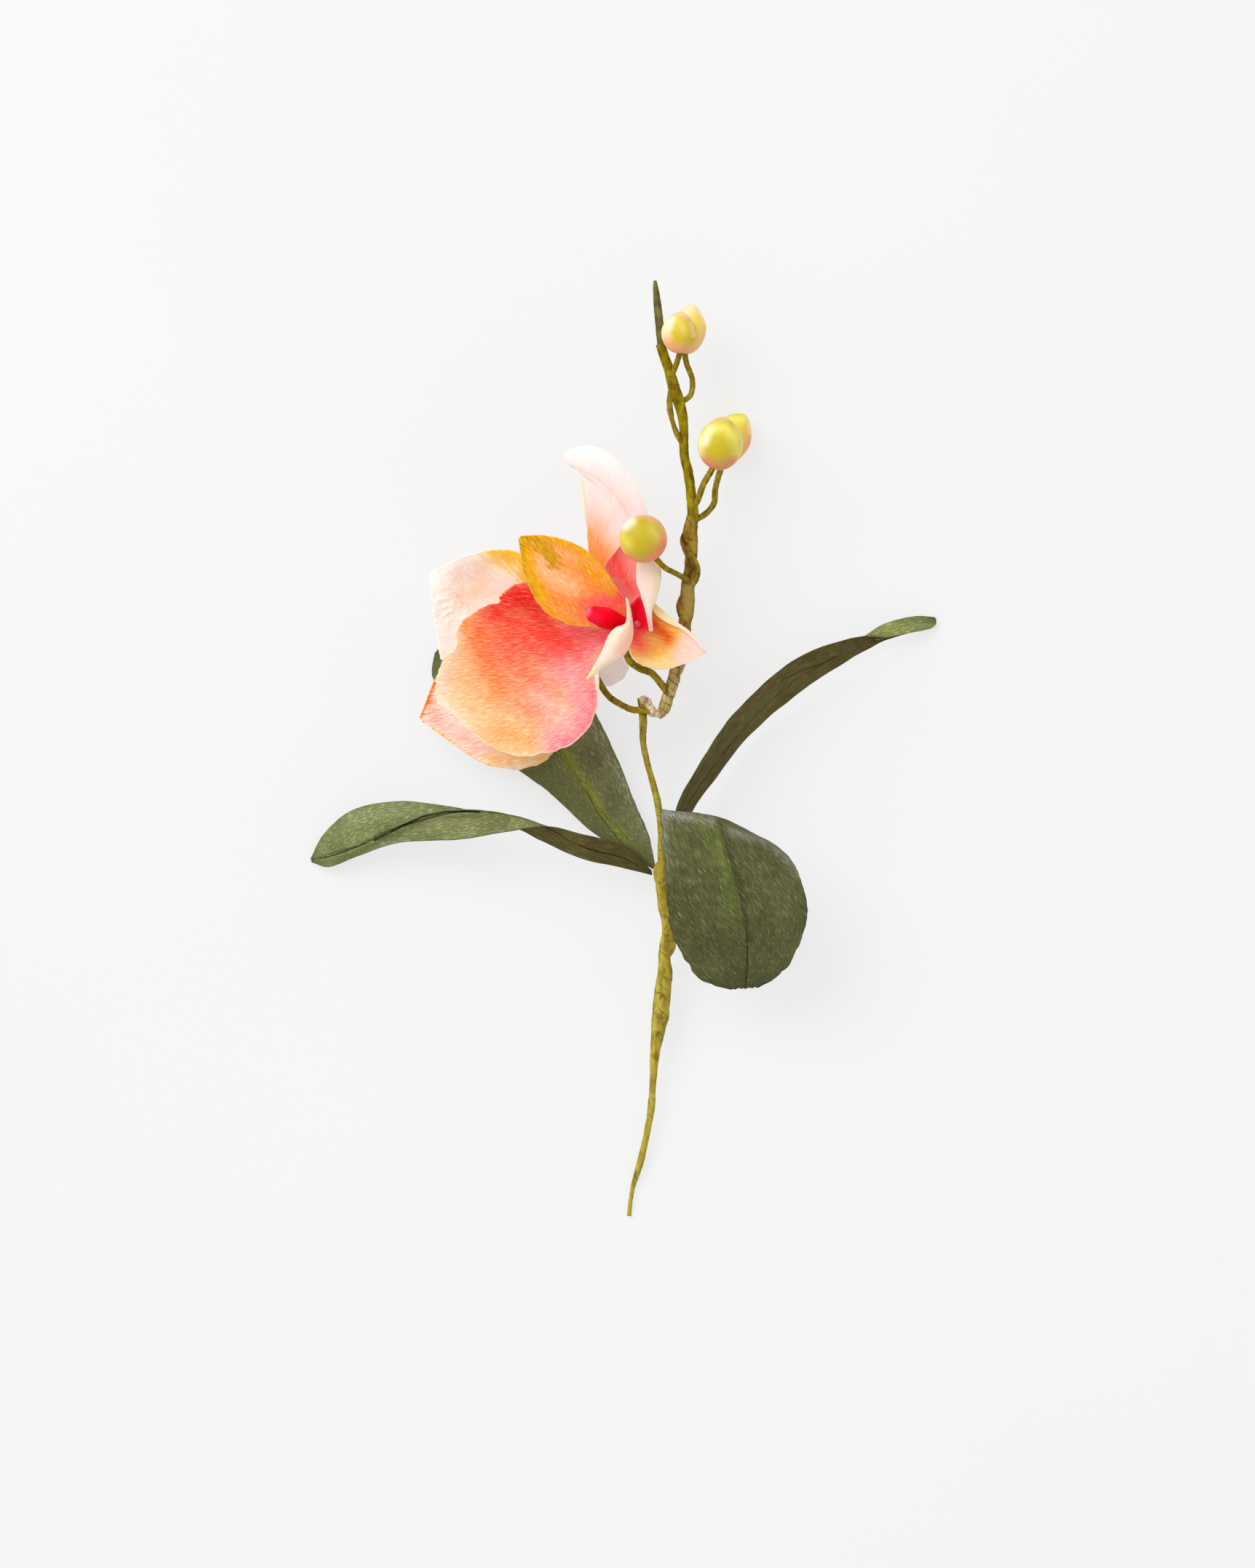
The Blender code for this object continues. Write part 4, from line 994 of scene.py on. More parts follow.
    crepe_sheet(
        "leaf_right", "leaf",
        [
            [(83.4, 39.4, 10.4), (88.6, 42.8, 8.8), (95.3, 45.1, 6.6), (102, 46, 3.9), (107.4, 45.6, 1.9)],
            [(83.6, 39.1, 10.4), (90, 40.9, 9.2), (96.6, 42.4, 6.8), (103, 43.6, 4.1), (107.8, 44.4, 2)],
            [(83.8, 38.8, 10.2), (92, 39, 7.4), (98.7, 40.2, 5.4), (105.4, 41.5, 3), (107.6, 43, 1.9)],
        ],
        right_top, (60, 30), under=right_under, fold=0.2, crumple=0.5, groove=0.4, part="tip",
    )
    front_top = leaf_crepe(
        "front leaf", (92, 94, 54), (112, 114, 70), (34, 33, 16), fleck=(158, 160, 104), flecks=0.5,
        rib=(96, 112, 46), ribs=0, lines=3.2, streak=2.5,
        strokes=[
            # Painted sheen: grey-white highlights along the upper left and top edges
            brush((190, 186, 170), (13, -22), (12.4, -44), reach=1.2, soft=3.2, ragged=1.4, strength=0.8),
            brush((204, 200, 186), (13, -21.5), (21, -23.4), (30, -25), reach=0.8, soft=2.4, ragged=1.4,
                strength=0.9),
            brush((190, 188, 168), (36, -28), (46, -30.6), (53, -34.4), (60, -43), reach=0.7, soft=2.4,
                ragged=1.4, strength=0.8),
            brush((114, 114, 74), (56, -45), (54, -68), reach=4, soft=5, strength=0.5),
            brush((118, 132, 58), (26, -25), (31, -34), (35.4, -46), (37.6, -57), reach=1.4, soft=3.6,
                ragged=0.8, strength=0.8),
            brush((138, 152, 64), (31.4, -26.4), (33.6, -36), (35.8, -44), reach=0.3, soft=1.6,
                strength=0.7),
            # Painted shadow on the right side of the crease
            brush((50, 60, 28), (34.6, -27), (36.6, -34), (38.8, -43), (41.4, -55), (42.8, -66), reach=0.5,
                soft=1.4, ragged=0.3, strength=0.8),
            brush(crease_shade, (33, -26), (34.8, -32), (36.8, -40), (40, -51), (42.1, -64), reach=0.12,
                soft=0.4, ragged=0.06, strength=0.85),
            brush(crease_shade, (42.1, -64), (42.4, -75), (41.6, -82.6), reach=0.2, soft=0.3, ragged=0.06),
            brush((36, 26, 14), (22, -76), (30, -82.6), (42, -84), (52, -80), reach=0.3, soft=0.5,
                ragged=0.3),
        ],
    )
    crepe_sheet(
        "leaf_front", "leaf",
        [
            [(14.2, -39.4, 16.9), (13.8, -29, 26), (12.6, -20.8, 35), (12.3, -26.5, 41.5), (13.6, -40, 43),
             (14.3, -55, 39.5), (17.6, -67, 34), (25.4, -79, 27.5), (37, -83, 23)],
            [(14, -39.6, 16.5), (20, -30, 26), (28.6, -23.2, 35), (33.2, -25.8, 40.5), (37, -40, 41),
             (39.8, -54, 37.5), (42, -67, 32.5), (42.2, -77, 27), (41.6, -82.8, 22.6)],
            [(14.8, -39.9, 16.1), (27, -33, 25), (41.6, -28.8, 32.5), (53, -33.8, 37), (60, -42, 38),
             (63.2, -55, 35.5), (60.6, -66.8, 32), (55, -76.4, 28), (45.6, -82.4, 22.8)],
        ],
        front_top, (200, 110), under=under, fold=0.25, crumple=0.35, ruffle=0.5, waves=4, rough=0.018,
        groove=0.5, slant=-0.5,
        nicks=(("low", 0.82, 0.02, 0.012), ("low", 0.92, 0.03, 0.015), ("high", 0.88, 0.02, 0.012),
               ("tip", 0.3, 0.012, 0.05), ("tip", 0.62, 0.012, 0.03)),
    )


# The front bloom

def front_bloom_pieces():
    pink_strokes = [
        brush((253, 176, 112), (-54.6, 44), (-53.6, 36), reach=2, soft=4),
        brush((252, 146, 86), (-50, 39), (-46, 30), (-43, 21), reach=4, soft=8),
        brush((252, 130, 100), (-42, 36), (-35, 27), (-28, 21), reach=4.4, soft=8.6),
        brush((253, 160, 130), (-35, 15), (-28, 12), reach=3.6, soft=7),
        brush((253, 170, 106), (-43, 6), (-33, 3), reach=2.4, soft=5, strength=0.8),
        brush((253, 166, 168), (-22, 30), (-17, 24), (-14, 12), (-24, 3), reach=5, soft=6),
        brush((254, 192, 182), (-29, 19), (-25, 13), (-21, 10), reach=2, soft=5, strength=0.9),
        brush((251, 124, 104), (-37, 36), (-26, 33), reach=3, soft=6),
        brush((253, 136, 142), (-23, 36), (-12, 35), (-5, 38), reach=3.4, soft=5),
        brush((253, 148, 154), (-15, 32), (-10, 24), reach=2.6, soft=4),
        brush((242, 78, 62), (-43, 51), (-33, 53), (-24, 50), reach=4.2, soft=4.6),
        brush((246, 90, 72), (-45, 47), (-36, 43), (-28, 38.6), (-20, 37.4), reach=4.6, soft=7),
        brush((228, 50, 52), (-38, 55), (-32, 49), (-25, 42), reach=2.8, soft=4.4, strength=0.85),
        brush((252, 110, 124), (-20, 41), (-10, 39.4), (-4, 40), reach=2, soft=3, strength=0.9),
        brush((251, 134, 152), (-10.8, 20), (-11.6, 10), (-16, 4), (-23, 0), reach=1.6, soft=3.6),
        brush((255, 208, 154), (-55.4, 34), (-54.6, 28), reach=1.4, soft=3.6, strength=0.8),
        brush((255, 226, 204), (-60, 37), (-63.4, 27), (-64, 18), (-58, 9), reach=3.8, soft=5),
        brush((255, 226, 204), (-9.8, 27.6), (-9, 20.6), reach=0.8, soft=0.5, ragged=0.1),
        brush((255, 232, 220), (-8.9, 21), (-8.8, 14), (-11.4, 7), (-16, 2.6), reach=0.3, soft=0.4,
            ragged=0.1),
    ]
    crepe_sheet(
        "front_petal_left", "petal_pink",
        [
            [(-2.6, 42.4, 38), (-12.5, 51, 36), (-24, 57.2, 36.4), (-34, 58, 36.8), (-41.4, 54.6, 37),
             (-43.3, 52.6, 37), (-43.9, 50.4, 37), (-47.8, 50, 36.6), (-52.3, 47.2, 36),
             (-56.2, 43.6, 35.6), (-57.9, 39.6, 35.2), (-57.6, 36, 34.8), (-58.7, 34, 34.4),
             (-60.6, 33.5, 34), (-62.4, 30.2, 33.8)],
            [(-2.4, 41.2, 37.4), (-15.5, 44, 33.2), (-29.5, 46, 31), (-42.5, 40, 30.4), (-55.2, 31.6, 31.4),
             (-64.4, 25.4, 33.4)],
            [(-2.4, 40, 37.4), (-15, 36, 31.5), (-29.5, 31, 27.5), (-41.5, 27, 26.5), (-53.5, 23.5, 28.5),
             (-65.3, 20.6, 33)],
            [(-2.6, 38.8, 37.4), (-12.5, 28, 33), (-24, 15, 30.2), (-38, 12.6, 29.2), (-51.5, 14.6, 30),
             (-65.1, 17.8, 32.8)],
            [(-3.2, 37.6, 37.6), (-8.6, 27, 36.6), (-8.7, 19.5, 36.8), (-9.4, 12.8, 37), (-12, 7.2, 37),
             (-16.4, 2.6, 36.6), (-22.5, -0.8, 36), (-28.5, -2.4, 35.4), (-35, -2.8, 34.6),
             (-41.5, -1.4, 33.8), (-47.2, 1.3, 33.2), (-51.6, 5.2, 32.8), (-56.2, 8.8, 32.5),
             (-59.4, 12.6, 32.4), (-64.2, 15.6, 32.6)],
        ],
        dyed_crepe("pink petal", (255, 202, 156), pink_strokes, flecks=0.34, shade=0.6, lines=3.7,
            streak=3),
        (160, 110), grain_from=(60, 41), ruffle=0.4, crumple=0.2,
    )
    apricot_strokes = [
        brush((252, 190, 142), (-29, 64), (-24, 58), (-18, 56), reach=3.4, soft=3.4),
        brush((252, 182, 124), (-24, 67.6), (-17, 65), (-11.6, 60.8), reach=1.2, soft=1.8, ragged=1.4),
        brush((244, 154, 70), (-27, 52), (-14, 47), reach=2.5, soft=4),
        brush((248, 158, 74), (-14, 61), (-9, 56), reach=3, soft=4),
        brush((250, 116, 108), (-4, 52), (-12, 48.5), reach=3, soft=4.5),
        brush((234, 174, 36), (-34.6, 71.6), (-32.6, 60), (-28.4, 52), reach=2.7, soft=1.6, ragged=1.6),
        brush((204, 166, 28), (-35.8, 72), (-34.6, 59), (-30.4, 50.6), reach=1.3, soft=0.9, ragged=0.6),
        brush((232, 166, 42), (-30.4, 50.6), (-20.9, 43.4), (-15, 41.6), reach=1.1, soft=0.8, ragged=0.6),
        brush((232, 174, 34), (-35.5, 72.6), (-26, 73), (-18, 70.4), (-11, 66), (-5, 59.4), (-2.4, 56.4),
            reach=1.7, soft=0.8, ragged=1.4),
        brush((206, 160, 28), (-34, 71.6), (-28, 69.4), (-24, 64.4), reach=2.3, soft=1.4, ragged=1.8),
        brush((230, 168, 38), (-14.6, 63.4), (-9, 58.4), (-4, 53), reach=1, soft=0.9, ragged=1.4),
        brush((250, 108, 98), (0.4, 53), (-2, 49.6), (-8, 46.6), reach=2.2, soft=3),
    ]
    crepe_sheet(
        "front_sepal_top", "petal_apricot",
        [
            [(0.4, 45.4, 40), (0.9, 50.6, 42.2), (-2.2, 55.2, 44.2), (-7.2, 62.4, 46.4),
             (-12.8, 68.2, 48.2), (-19.5, 71.4, 49.8), (-27.5, 73.2, 50.6), (-35.4, 73, 49.5)],
            [(-3.8, 43.7, 39.6), (-11.5, 51.4, 41.6), (-20.2, 58.4, 44.5), (-28.4, 65.6, 47.5),
             (-35.9, 72.6, 49.2)],
            [(-4.8, 43, 40), (-17.2, 42.2, 43), (-28.2, 48, 46.5), (-34, 59.2, 48.8), (-36.3, 72.2, 49.4)],
        ],
        dyed_crepe("apricot sepal", (244, 165, 91), apricot_strokes, flecks=0.28, shade=0.4, edges=0.1),
        (90, 60), grain_from=(60, -20), crumple=0.12,
    )
    inner_strokes = [
        brush((254, 72, 72), (-4, 68), (-1, 60), (2, 54), reach=2.4, soft=4.6),
        brush((252, 40, 44), (-5.6, 65), (-3.6, 60), reach=0.8, soft=3.2, strength=0.8),
        brush((255, 180, 172), (-5, 54), (-1, 50), reach=2.4, soft=4),
        brush((255, 246, 232), (10, 2), (10, 10), reach=1, soft=0.6, ragged=0.1, on="sheet"),
    ]
    margin_strokes = [
        brush((255, 236, 176), (2.6, 4), (3, 10), reach=1.4, soft=1.8, ragged=0.2, on="sheet"),
        brush((238, 208, 224), (0, 3.6), (0, 10), reach=0.9, soft=0.9, ragged=0.1, on="sheet"),
        brush((248, 150, 140), (5, 0), (8, 0.6), reach=1.2, soft=1.6, ragged=0.2, strength=0.8, on="sheet"),
    ]
    crepe_sheet(
        "front_petal_right", "petal_pink",
        [
            [(-3.6, 44.8, 38.4), (-4.6, 50, 39.4), (-6.6, 56, 40.6), (-7.6, 61.4, 41.6), (-2.6, 68.4, 42.9),
             (2.6, 76.4, 45.4)],
            [(-0.6, 44.3, 38.2), (1.4, 49.4, 38.6), (2, 56, 39.1), (1.6, 63.6, 40), (2.6, 70.4, 41.7),
             (4, 77.4, 45)],
            [(0.4, 43.8, 38.2), (6.4, 48.2, 39), (8.6, 54.8, 39.4), (9.2, 62, 40.2), (8.6, 70, 41.3),
             (5.8, 77.8, 45)],
            [(1, 43.4, 38.6), (8.8, 47.6, 42), (11.4, 53.4, 43.4), (12.3, 60.6, 44), (11.2, 68.6, 43.9),
             (7.6, 77.6, 45.6)],
        ],
        dyed_crepe("rolled petal", (255, 178, 170), inner_strokes, flecks=0.25, shade=0.2, edges=0.1),
        (90, 60), grain_from=(-11, 8),
    )
    crepe_sheet(
        "front_petal_right", "petal_pink",
        [
            [(9.7, 40.6, 44.4), (9.4, 44.4, 43.8), (9.6, 48.4, 43.6), (11.2, 52.2, 43.8),
             (12.6, 59.6, 44.2), (11.4, 67, 44.2), (8.6, 76.8, 45.6)],
            [(9.2, 40.2, 44.8), (9, 44.6, 45.4), (9.2, 49, 45.8), (9.9, 53.2, 46.4), (10, 59.4, 47),
             (9.6, 66.4, 46.2), (8.5, 76.6, 46.2)],
            [(8.5, 40.5, 44.8), (7.9, 44, 45.8), (7, 48, 46.6), (5.8, 52.2, 47.2), (4, 58.6, 47.6),
             (4.9, 66.6, 46.8), (8.4, 76.4, 46.4)],
        ],
        dyed_crepe("rolled margin", (255, 224, 208), margin_strokes, flecks=0.2, shade=0.12, edges=0.2),
        (90, 30), grain_from=(-4, 0), crumple=0.05, flutes=0.05, part="roll",
    )
    fold_strokes = [
        brush((255, 216, 138), (14, 30), (8, 28.4), reach=2.4, soft=3.4),
        brush((249, 172, 84), (14, 36), (9, 33.4), reach=1.4, soft=3),
        brush((230, 84, 20), (8, 45), (11.6, 41.5), (15, 38.4), reach=1.9, soft=2.8, ragged=0.6),
        brush((255, 108, 88), (1.5, 40), (5.5, 36), reach=3, soft=3.4, ragged=0.8),
        brush((240, 70, 78), (2.4, 39), (5.8, 40.4), (8.8, 41.4), reach=1.2, soft=2.2, ragged=0.6),
        brush((255, 216, 168), (5, 30.4), (11, 27.6), (17, 28.8), reach=1, soft=1.6, strength=0.8),
        brush((252, 208, 196), (28, 33), (20.6, 31.6), reach=4.2, soft=2.6, ragged=0.8),
        brush((252, 208, 196), (28, 33.2), (21.6, 37.6), reach=2.6, soft=2.2, ragged=0.8),
        brush((254, 232, 170), (0, 2), (0, 7), reach=2.6, soft=0.5, ragged=0.1, on="sheet"),
        brush((254, 226, 204), (0.6, 7.6), (0.6, 10), reach=2.4, soft=1, ragged=0.1, on="sheet"),
    ]
    crepe_sheet(
        "front_sepal_right", "petal_apricot",
        [
            [(2.2, 41, 37.6), (6.4, 46, 37.4), (8.8, 49.4, 37.6), (10.6, 46.4, 38.6), (13.3, 44.2, 38.8),
             (16.3, 42.6, 38.4), (19.9, 41, 37.8), (23.9, 37.6, 37.2), (27.8, 33.2, 36.6)],
            [(2, 40.6, 37), (5.8, 46.8, 35.6), (8.9, 50.2, 36.2), (12, 48.2, 36.8), (15.3, 45.3, 37),
             (19.4, 42.2, 37), (22.6, 39.9, 36.8), (25.2, 36.9, 36.6), (28, 33.1, 36.4)],
            [(1.8, 39.2, 36.6), (6.4, 38.6, 35.6), (12.4, 37, 35.6), (20.2, 34.8, 35.8), (28.2, 33, 36.2)],
            [(1.4, 37.8, 36.8), (1.6, 34, 36), (4, 30, 35.6), (7.2, 28, 35.4), (11.2, 27.1, 35.4),
             (15.6, 27.4, 35.4), (20, 28.8, 35.6), (24.8, 30.8, 36), (28, 32.8, 36.2)],
        ],
        dyed_crepe("folded sepal", (255, 192, 100), fold_strokes, flecks=0.2, shade=0.2, edges=0.4),
        (80, 60), grain_from=(-60, 60),
    )
    crepe_sheet(
        "front_sepal_left", "petal_cream",
        [
            [(-4.8, 38.6, 36.2), (-15.6, 26, 28.6), (-24.6, 14, 25.4), (-25.4, 4.6, 24.6)],
            [(-4.6, 38, 36), (-13, 24, 28.4), (-18.6, 11, 25), (-24.8, 4.2, 24.4)],
            [(-4.6, 37.4, 35.8), (-10.8, 22.4, 29.4), (-13.6, 8.6, 26.4), (-24, 3.8, 24.6)],
        ],
        dyed_crepe("hidden sepal", (250, 214, 200),
            [brush((240, 120, 110), (-6, 36), (-10, 28), reach=4, soft=5)]),
        (60, 30), grain_from=(20, 70),
    )
    lobe_strokes = [
        # Pinkish tone with painted shade on the lobe's right side, where it turns down into the wall
        brush((249, 186, 158), (3, 43), (2, 38.6), (-1, 34), reach=1.3, soft=2.6, ragged=0.3),
        brush((248, 200, 176), (0.6, 46), (1, 41), reach=0.8, soft=2.2, ragged=0.3, strength=0.8),
        brush((246, 172, 152), (2, 50), (2.4, 44), reach=0.7, soft=1.2, ragged=0.2, strength=0.8),
        brush((250, 222, 206), (-7, 33), (-10, 28), reach=1, soft=3, ragged=0.3, strength=0.6),
        brush((244, 232, 146), (-13.4, 23.6), (-10.8, 27.6), reach=0.8, soft=1.8, ragged=0.3),
    ]
    crepe_sheet(
        "front_lip", "petal_cream",
        [
            [(0.5, 52, 49.6), (0.9, 47.6, 51), (0.4, 43, 52.2), (-3.2, 41.4, 52.4), (-5.6, 38.6, 51.8),
             (-7.8, 33.4, 50.6), (-10.4, 28.6, 49.2), (-13.3, 23.8, 47.2)],
            [(0.9, 51.6, 49.8), (1.5, 47.5, 51.6), (1.6, 43.2, 53.4), (-0.6, 40, 54), (-2.6, 36.2, 53),
             (-4.6, 32.4, 51.2), (-8.6, 28.4, 49.4), (-13.1, 23.7, 47.2)],
            [(1.3, 51, 49.4), (2.1, 47.2, 50.8), (2.7, 43, 51.6), (2.6, 39.4, 51.2), (1.6, 36, 50.6),
             (-0.8, 32.4, 50), (-5.8, 28.8, 48.6), (-12.8, 23.6, 47)],
            [(1.6, 50.4, 46), (2.3, 47, 45.4), (2.8, 43, 45), (2.8, 39.6, 45.4), (2, 36, 46),
             (-0.2, 32.2, 46.6), (-5.6, 29, 47.2), (-12.8, 23.7, 46.8)],
        ],
        dyed_crepe("cream lip", (242, 211, 191), lobe_strokes, flecks=0.1, shade=0.08, edges=0.2,
            depth=0.03),
        (100, 50), flutes=0.03, crumple=0.05, paper=0.4, part="lobe",
    )
    throat_strokes = [
        brush((176, 0, 22), (3.2, 48), (3.4, 43), reach=0.8, soft=1.6, ragged=0.3, strength=0.7),
        brush((242, 104, 116), (2.2, 50), (4.8, 52.6), (6, 51.6), reach=0.4, soft=0.8, ragged=0.2),
        brush((232, 66, 84), (2.4, 41.6), (5.4, 40.6), (9.2, 41.2), reach=0.5, soft=0.9, ragged=0.3,
            strength=0.85),
    ]
    crepe_sheet(
        "front_lip", "petal_cream",
        [
            [(1.9, 49.4, 45.8), (2.3, 47, 44.6), (2.6, 44.2, 44), (2.8, 41.6, 43)],
            [(4.9, 52.4, 45.4), (4.6, 48.2, 42.4), (4.8, 44.6, 41.8), (5.2, 40.4, 41.6)],
            [(6, 51.2, 44.6), (7.6, 48, 43.8), (8.6, 44.2, 43.2), (9.2, 41.4, 42.2)],
        ],
        dyed_crepe("red throat", (240, 8, 44), throat_strokes, flecks=0.1, shade=0.05, edges=0, depth=0.03),
        (50, 40), flutes=0.03, crumple=0.05, paper=0.4, part="throat",
    )
    moulded("front_lip_callus", "front_lip", "column_red", (4.4, 43, 42.7), (1.3, 1.2, 0.9), 0, (0, 0, 1),
        satin("callus", (214, 70, 84), [brush((236, 140, 140), (4.2, 43.4), reach=0.3, soft=0.6)]), seams=0)


# The back bloom

def back_bloom_pieces():
    cream_strokes = [
        brush((255, 230, 210), (-52, 54), (-42, 54), reach=3, soft=6, strength=0.8),
        brush((255, 206, 166), (-51, 54), (-48.6, 59), (-47.4, 64), reach=2.2, soft=4.4, strength=0.5),
        brush((253, 214, 180), (-61, 55), (-58, 49), (-59, 44), reach=1, soft=2.6, ragged=1.8,
            strength=0.3),
        brush((254, 222, 196), (-63, 62), (-57, 60), (-52, 63), reach=1, soft=3, ragged=1.8, strength=0.5),
        brush((255, 218, 190), (-57, 53), (-52, 46), reach=1.4, soft=3, strength=0.6),
        brush((254, 220, 140), (-49, 69), (-39, 62.6), reach=2, soft=2.6, ragged=1.6),
        brush((252, 204, 76), (-45, 70.5), (-35, 66), (-33, 59), reach=3.8, soft=2.4, ragged=1.6),
    ]
    crepe_sheet(
        "back_petal_left", "petal_cream",
        [
            [(-18.6, 40.2, 14.6), (-23, 58, 18.5), (-36, 68, 20.5), (-52, 67.6, 21), (-67.6, 60.8, 19)],
            [(-20, 38.8, 14), (-31, 44.6, 11.2), (-43, 49.4, 10.4), (-55, 51.4, 12.4), (-66.2, 48, 16.5)],
            [(-20.6, 37.4, 14.2), (-33, 30.6, 13), (-45.5, 27.4, 12.4), (-56, 27.6, 13.4),
             (-63.6, 31, 16.5)],
        ],
        dyed_crepe("cream petal", (255, 248, 240), cream_strokes, flecks=0.2, shade=0.26, stain=0.05,
            edges=0.2, depth=0.07),
        (150, 130), grain_from=(20, 0), ruffle=0.4, waves=2, crumple=0.35, crushed=(-61, 51, 8, 0.26),
    )
    streak_strokes = [
        brush((252, 158, 136), (-67.4, 17), (-65, 11), reach=1.2, soft=3, ragged=1.4, strength=0.6),
        brush((253, 182, 172), (-66, 10), (-58, 4), (-50, 0), reach=2, soft=4, ragged=2, strength=0.35),
        brush((255, 216, 162), (-46, -3.6), (-26, -3.6), reach=2.4, soft=3, ragged=1.4),
        brush((240, 160, 66), (-65, 24), (-70.6, 11), reach=0.9, soft=0.9, ragged=0.5),
        brush((246, 196, 84), (-66, 6.4), (-51.5, -4.6), (-42.4, -7.8), reach=0.8, soft=0.8, ragged=0.5),
    ]
    crepe_sheet(
        "back_sepal_left", "petal_cream",
        [
            [(-20, 35.2, 12.4), (-33.2, 32.4, 9), (-48.2, 30.4, 7.4), (-63, 27.4, 9), (-70.4, 11.4, 12.5)],
            [(-18.8, 34, 12.2), (-28.4, 21.4, 8), (-41, 13.8, 6.8), (-54.8, 10.8, 8.2),
             (-70.6, 10.6, 12.4)],
            [(-17.4, 33.4, 12.4), (-19.4, 10, 11.6), (-28.4, -5.2, 12.4), (-47, -5.6, 12.4),
             (-70.2, 9.8, 12.6)],
        ],
        dyed_crepe("streaked sepal", (255, 228, 218), streak_strokes, flecks=0.8, shade=1, edges=0.1,
            lines=3.4, streak=4),
        (90, 80), grain_from=(60, 30), ruffle=0.4, crumple=0.2,
    )
    top_strokes = [
        brush((255, 210, 190), (-12, 81), (-8, 76), reach=2.4, soft=5, strength=0.6),
        brush((253, 204, 186), (4.4, 87), (7, 79), reach=1.4, soft=3.4, strength=0.9),
        brush((255, 190, 140), (-11.5, 74), (-6, 68), reach=3.5, soft=5),
        brush((255, 152, 40), (-10, 66), (-5, 59), reach=3.6, soft=4.5),
        brush((255, 172, 76), (-13, 75), (-11.4, 68), (-7.6, 63), reach=1, soft=2.6),
        brush((244, 214, 90), (-17.8, 96), (-14.4, 92), (-13.2, 80), reach=0.22, soft=0.3, ragged=0.2),
        brush((251, 229, 226), (7.6, 4), (7.6, 10), reach=2.3, soft=0.4, ragged=0.1, on="sheet"),
        # Painted shadow: a soft peach line where the band folds over
        brush((252, 196, 174), (4.9, 4), (4.9, 9.6), reach=0.06, soft=0.32, ragged=0.1, strength=0.85,
            on="sheet"),
    ]
    crepe_sheet(
        "back_petal_top", "petal_cream",
        [
            [(-17.6, 40.6, 15), (-11.6, 57, 19.4), (-13, 72.6, 25), (-14, 85, 30.1), (-15.8, 95.4, 33.5),
             (-19.2, 100.4, 34.7)],
            [(-16.7, 40.5, 14.4), (-5, 57.6, 18.4), (-5.4, 73.6, 24), (-7.6, 85.6, 29.2),
             (-13.2, 94.8, 32.9), (-19.6, 100.8, 34.8)],
            [(-14.4, 39.6, 14.6), (4.2, 60, 18.8), (4.4, 72, 24), (2.2, 79.6, 27.2), (-2.4, 86.6, 30.6),
             (-8.8, 92.4, 33.2), (-14.6, 95.6, 34.6), (-18.4, 97.4, 35.2), (-20.6, 100.4, 35.8)],
            [(-14.6, 39.8, 15), (5.6, 59, 20.2), (7, 72, 25.6), (5.4, 80.2, 29.2), (1.4, 88, 32.4),
             (-4.8, 95.4, 35.2), (-11.4, 99.8, 36.2), (-16.6, 100.8, 36.2), (-20.8, 101.4, 36)],
            [(-14.8, 40.1, 15), (6.8, 58, 19.8), (9.3, 72, 25), (8.1, 81, 28.8), (4.7, 89.6, 32.2),
             (-1.4, 98.2, 34.8), (-8.2, 103.4, 35.9), (-14.2, 104.2, 36), (-20.6, 102.2, 35.9)],
        ],
        dyed_crepe("blush petal", (251, 231, 227), top_strokes, flecks=0.06, shade=0.08, edges=0.2,
            streak=5, stain=0.03, depth=0.05),
        (110, 90), grain_from=(-25, -40), crumple=0.15, groove=0.25,
    )
    crepe_sheet(
        "back_sepal_right", "petal_cream",
        [
            [(-13.8, 38.4, 12.6), (-8, 35.4, 10.4), (-2, 33, 9), (1.8, 28.6, 8.4)],
            [(-13.6, 37, 12), (-8.6, 31.6, 9.4), (-3.8, 28.6, 8.2), (1, 26.4, 7.8)],
            [(-14.2, 35.4, 10.4), (-10.6, 27, 8.2), (-6.4, 21.6, 7.4), (-0.4, 24, 7.6)],
        ],
        dyed_crepe("pale sepal", (255, 250, 250), [], flecks=0.1, shade=0.1, deep=(252, 226, 228),
            stain=0.2, edge=(252, 220, 222), through=1),
        (60, 50), grain_from=(-50, 70),
    )
    crepe_sheet(
        "back_lip", "petal_cream",
        [
            [(-18, 35.4, 16.6), (-22, 30.6, 18.6), (-28, 26.6, 20.4), (-33.6, 25.8, 20.6)],
            [(-19, 36.2, 16), (-23.4, 33.6, 16.6), (-29.4, 30.6, 18.2), (-34, 27, 20.2)],
            [(-20, 37.2, 16.6), (-25.4, 37.4, 18.6), (-31.4, 34.6, 20), (-34.4, 28.2, 20.6)],
        ],
        dyed_crepe("back lip", (253, 232, 214),
            [brush((240, 30, 50), (-18, 36), (-24, 33), reach=3, soft=2)], flecks=0.1, shade=0.2),
        (50, 40), crumple=0.05, paper=0.5,
    )


# The table, the lights and the camera

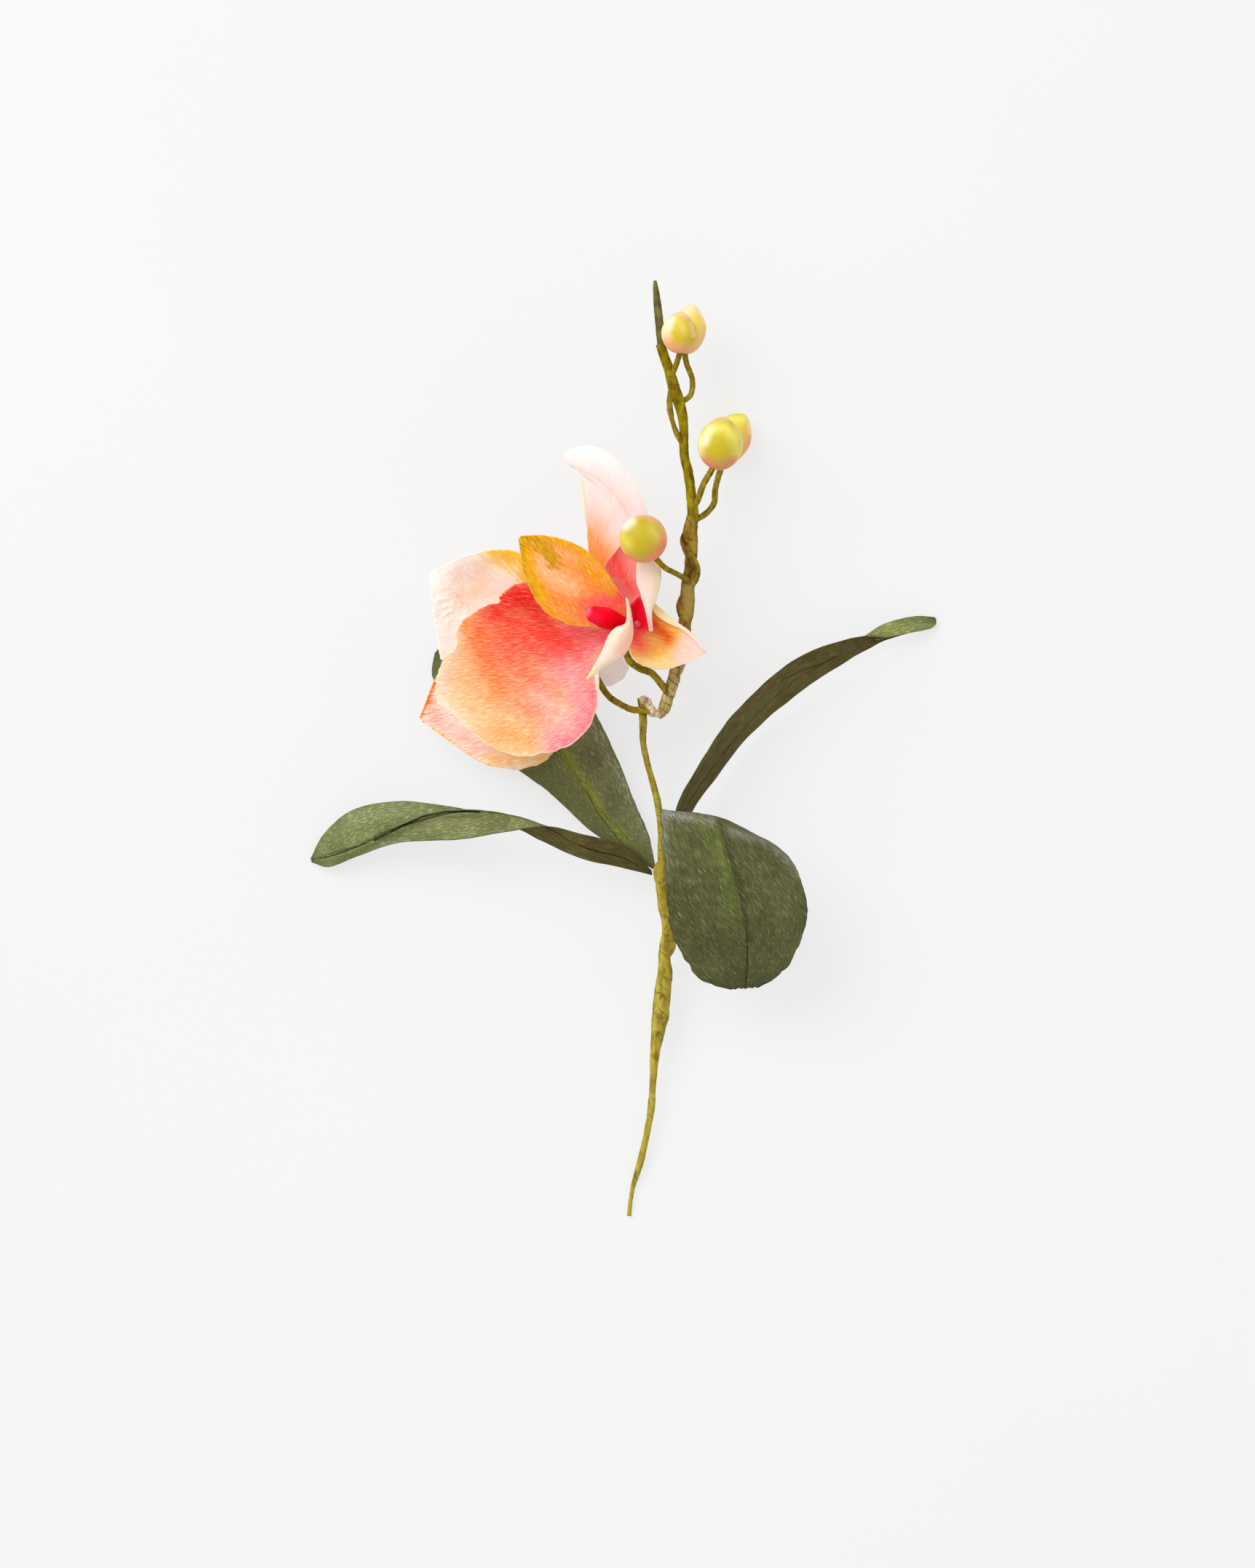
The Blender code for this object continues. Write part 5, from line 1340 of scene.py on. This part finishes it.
def studio():
    scene = bpy.context.scene
    scene.view_settings.view_transform = "Standard"
    bpy.ops.mesh.primitive_plane_add(size=TABLE_SIZE, location=(0.0, 0.0, 0.0))
    table = bpy.context.object
    table.name = "table"
    made, tree, shader = new_material("table white", 0.9)
    place = add(tree, "ShaderNodeTexCoord").outputs["Object"]
    faint = ramped(tree, cloudy(tree, place, 3.0), 0.3, 0.7)
    dark, light = ((grey, grey, grey, 1.0) for grey in TABLE_GREYS)
    put(tree, shader.inputs["Base Color"], tinted(tree, faint, dark, light))
    shader.inputs["Emission Color"].default_value = WHITE
    shader.inputs["Emission Strength"].default_value = TABLE_GLOW
    table.data.materials.append(made)
    world = bpy.data.worlds.new("soft white room")
    scene.world = world
    world.use_nodes = True
    room = world.node_tree.nodes["Background"].inputs
    room["Color"].default_value = WHITE
    room["Strength"].default_value = ROOM_LIGHT
    softbox = bpy.data.lights.new("softbox", "AREA")
    softbox.shape = "SQUARE"
    softbox.size = SOFTBOX_SIZE
    softbox.energy = SOFTBOX_POWER
    lamp = bpy.data.objects.new("softbox", softbox)
    scene.collection.objects.link(lamp)
    lamp.location = SOFTBOX_PLACE
    lamp.rotation_euler = (-lamp.location).to_track_quat("-Z", "Y").to_euler()


def camera():
    scene = bpy.context.scene
    lens = bpy.data.cameras.new("camera")
    lens.lens = LENS
    lens.sensor_width = SENSOR
    eye = bpy.data.objects.new("camera", lens)
    scene.collection.objects.link(eye)
    height = FOCUS_HEIGHT + IMAGE_MM * LENS / SENSOR
    eye.location = (PICTURE_CENTRE[0] * MM, PICTURE_CENTRE[1] * MM, height * MM)
    scene.camera = eye


camera()
studio()
stem_pieces()
bud_pieces()
leaf_pieces()
front_bloom_pieces()
column_pieces()
back_bloom_pieces()
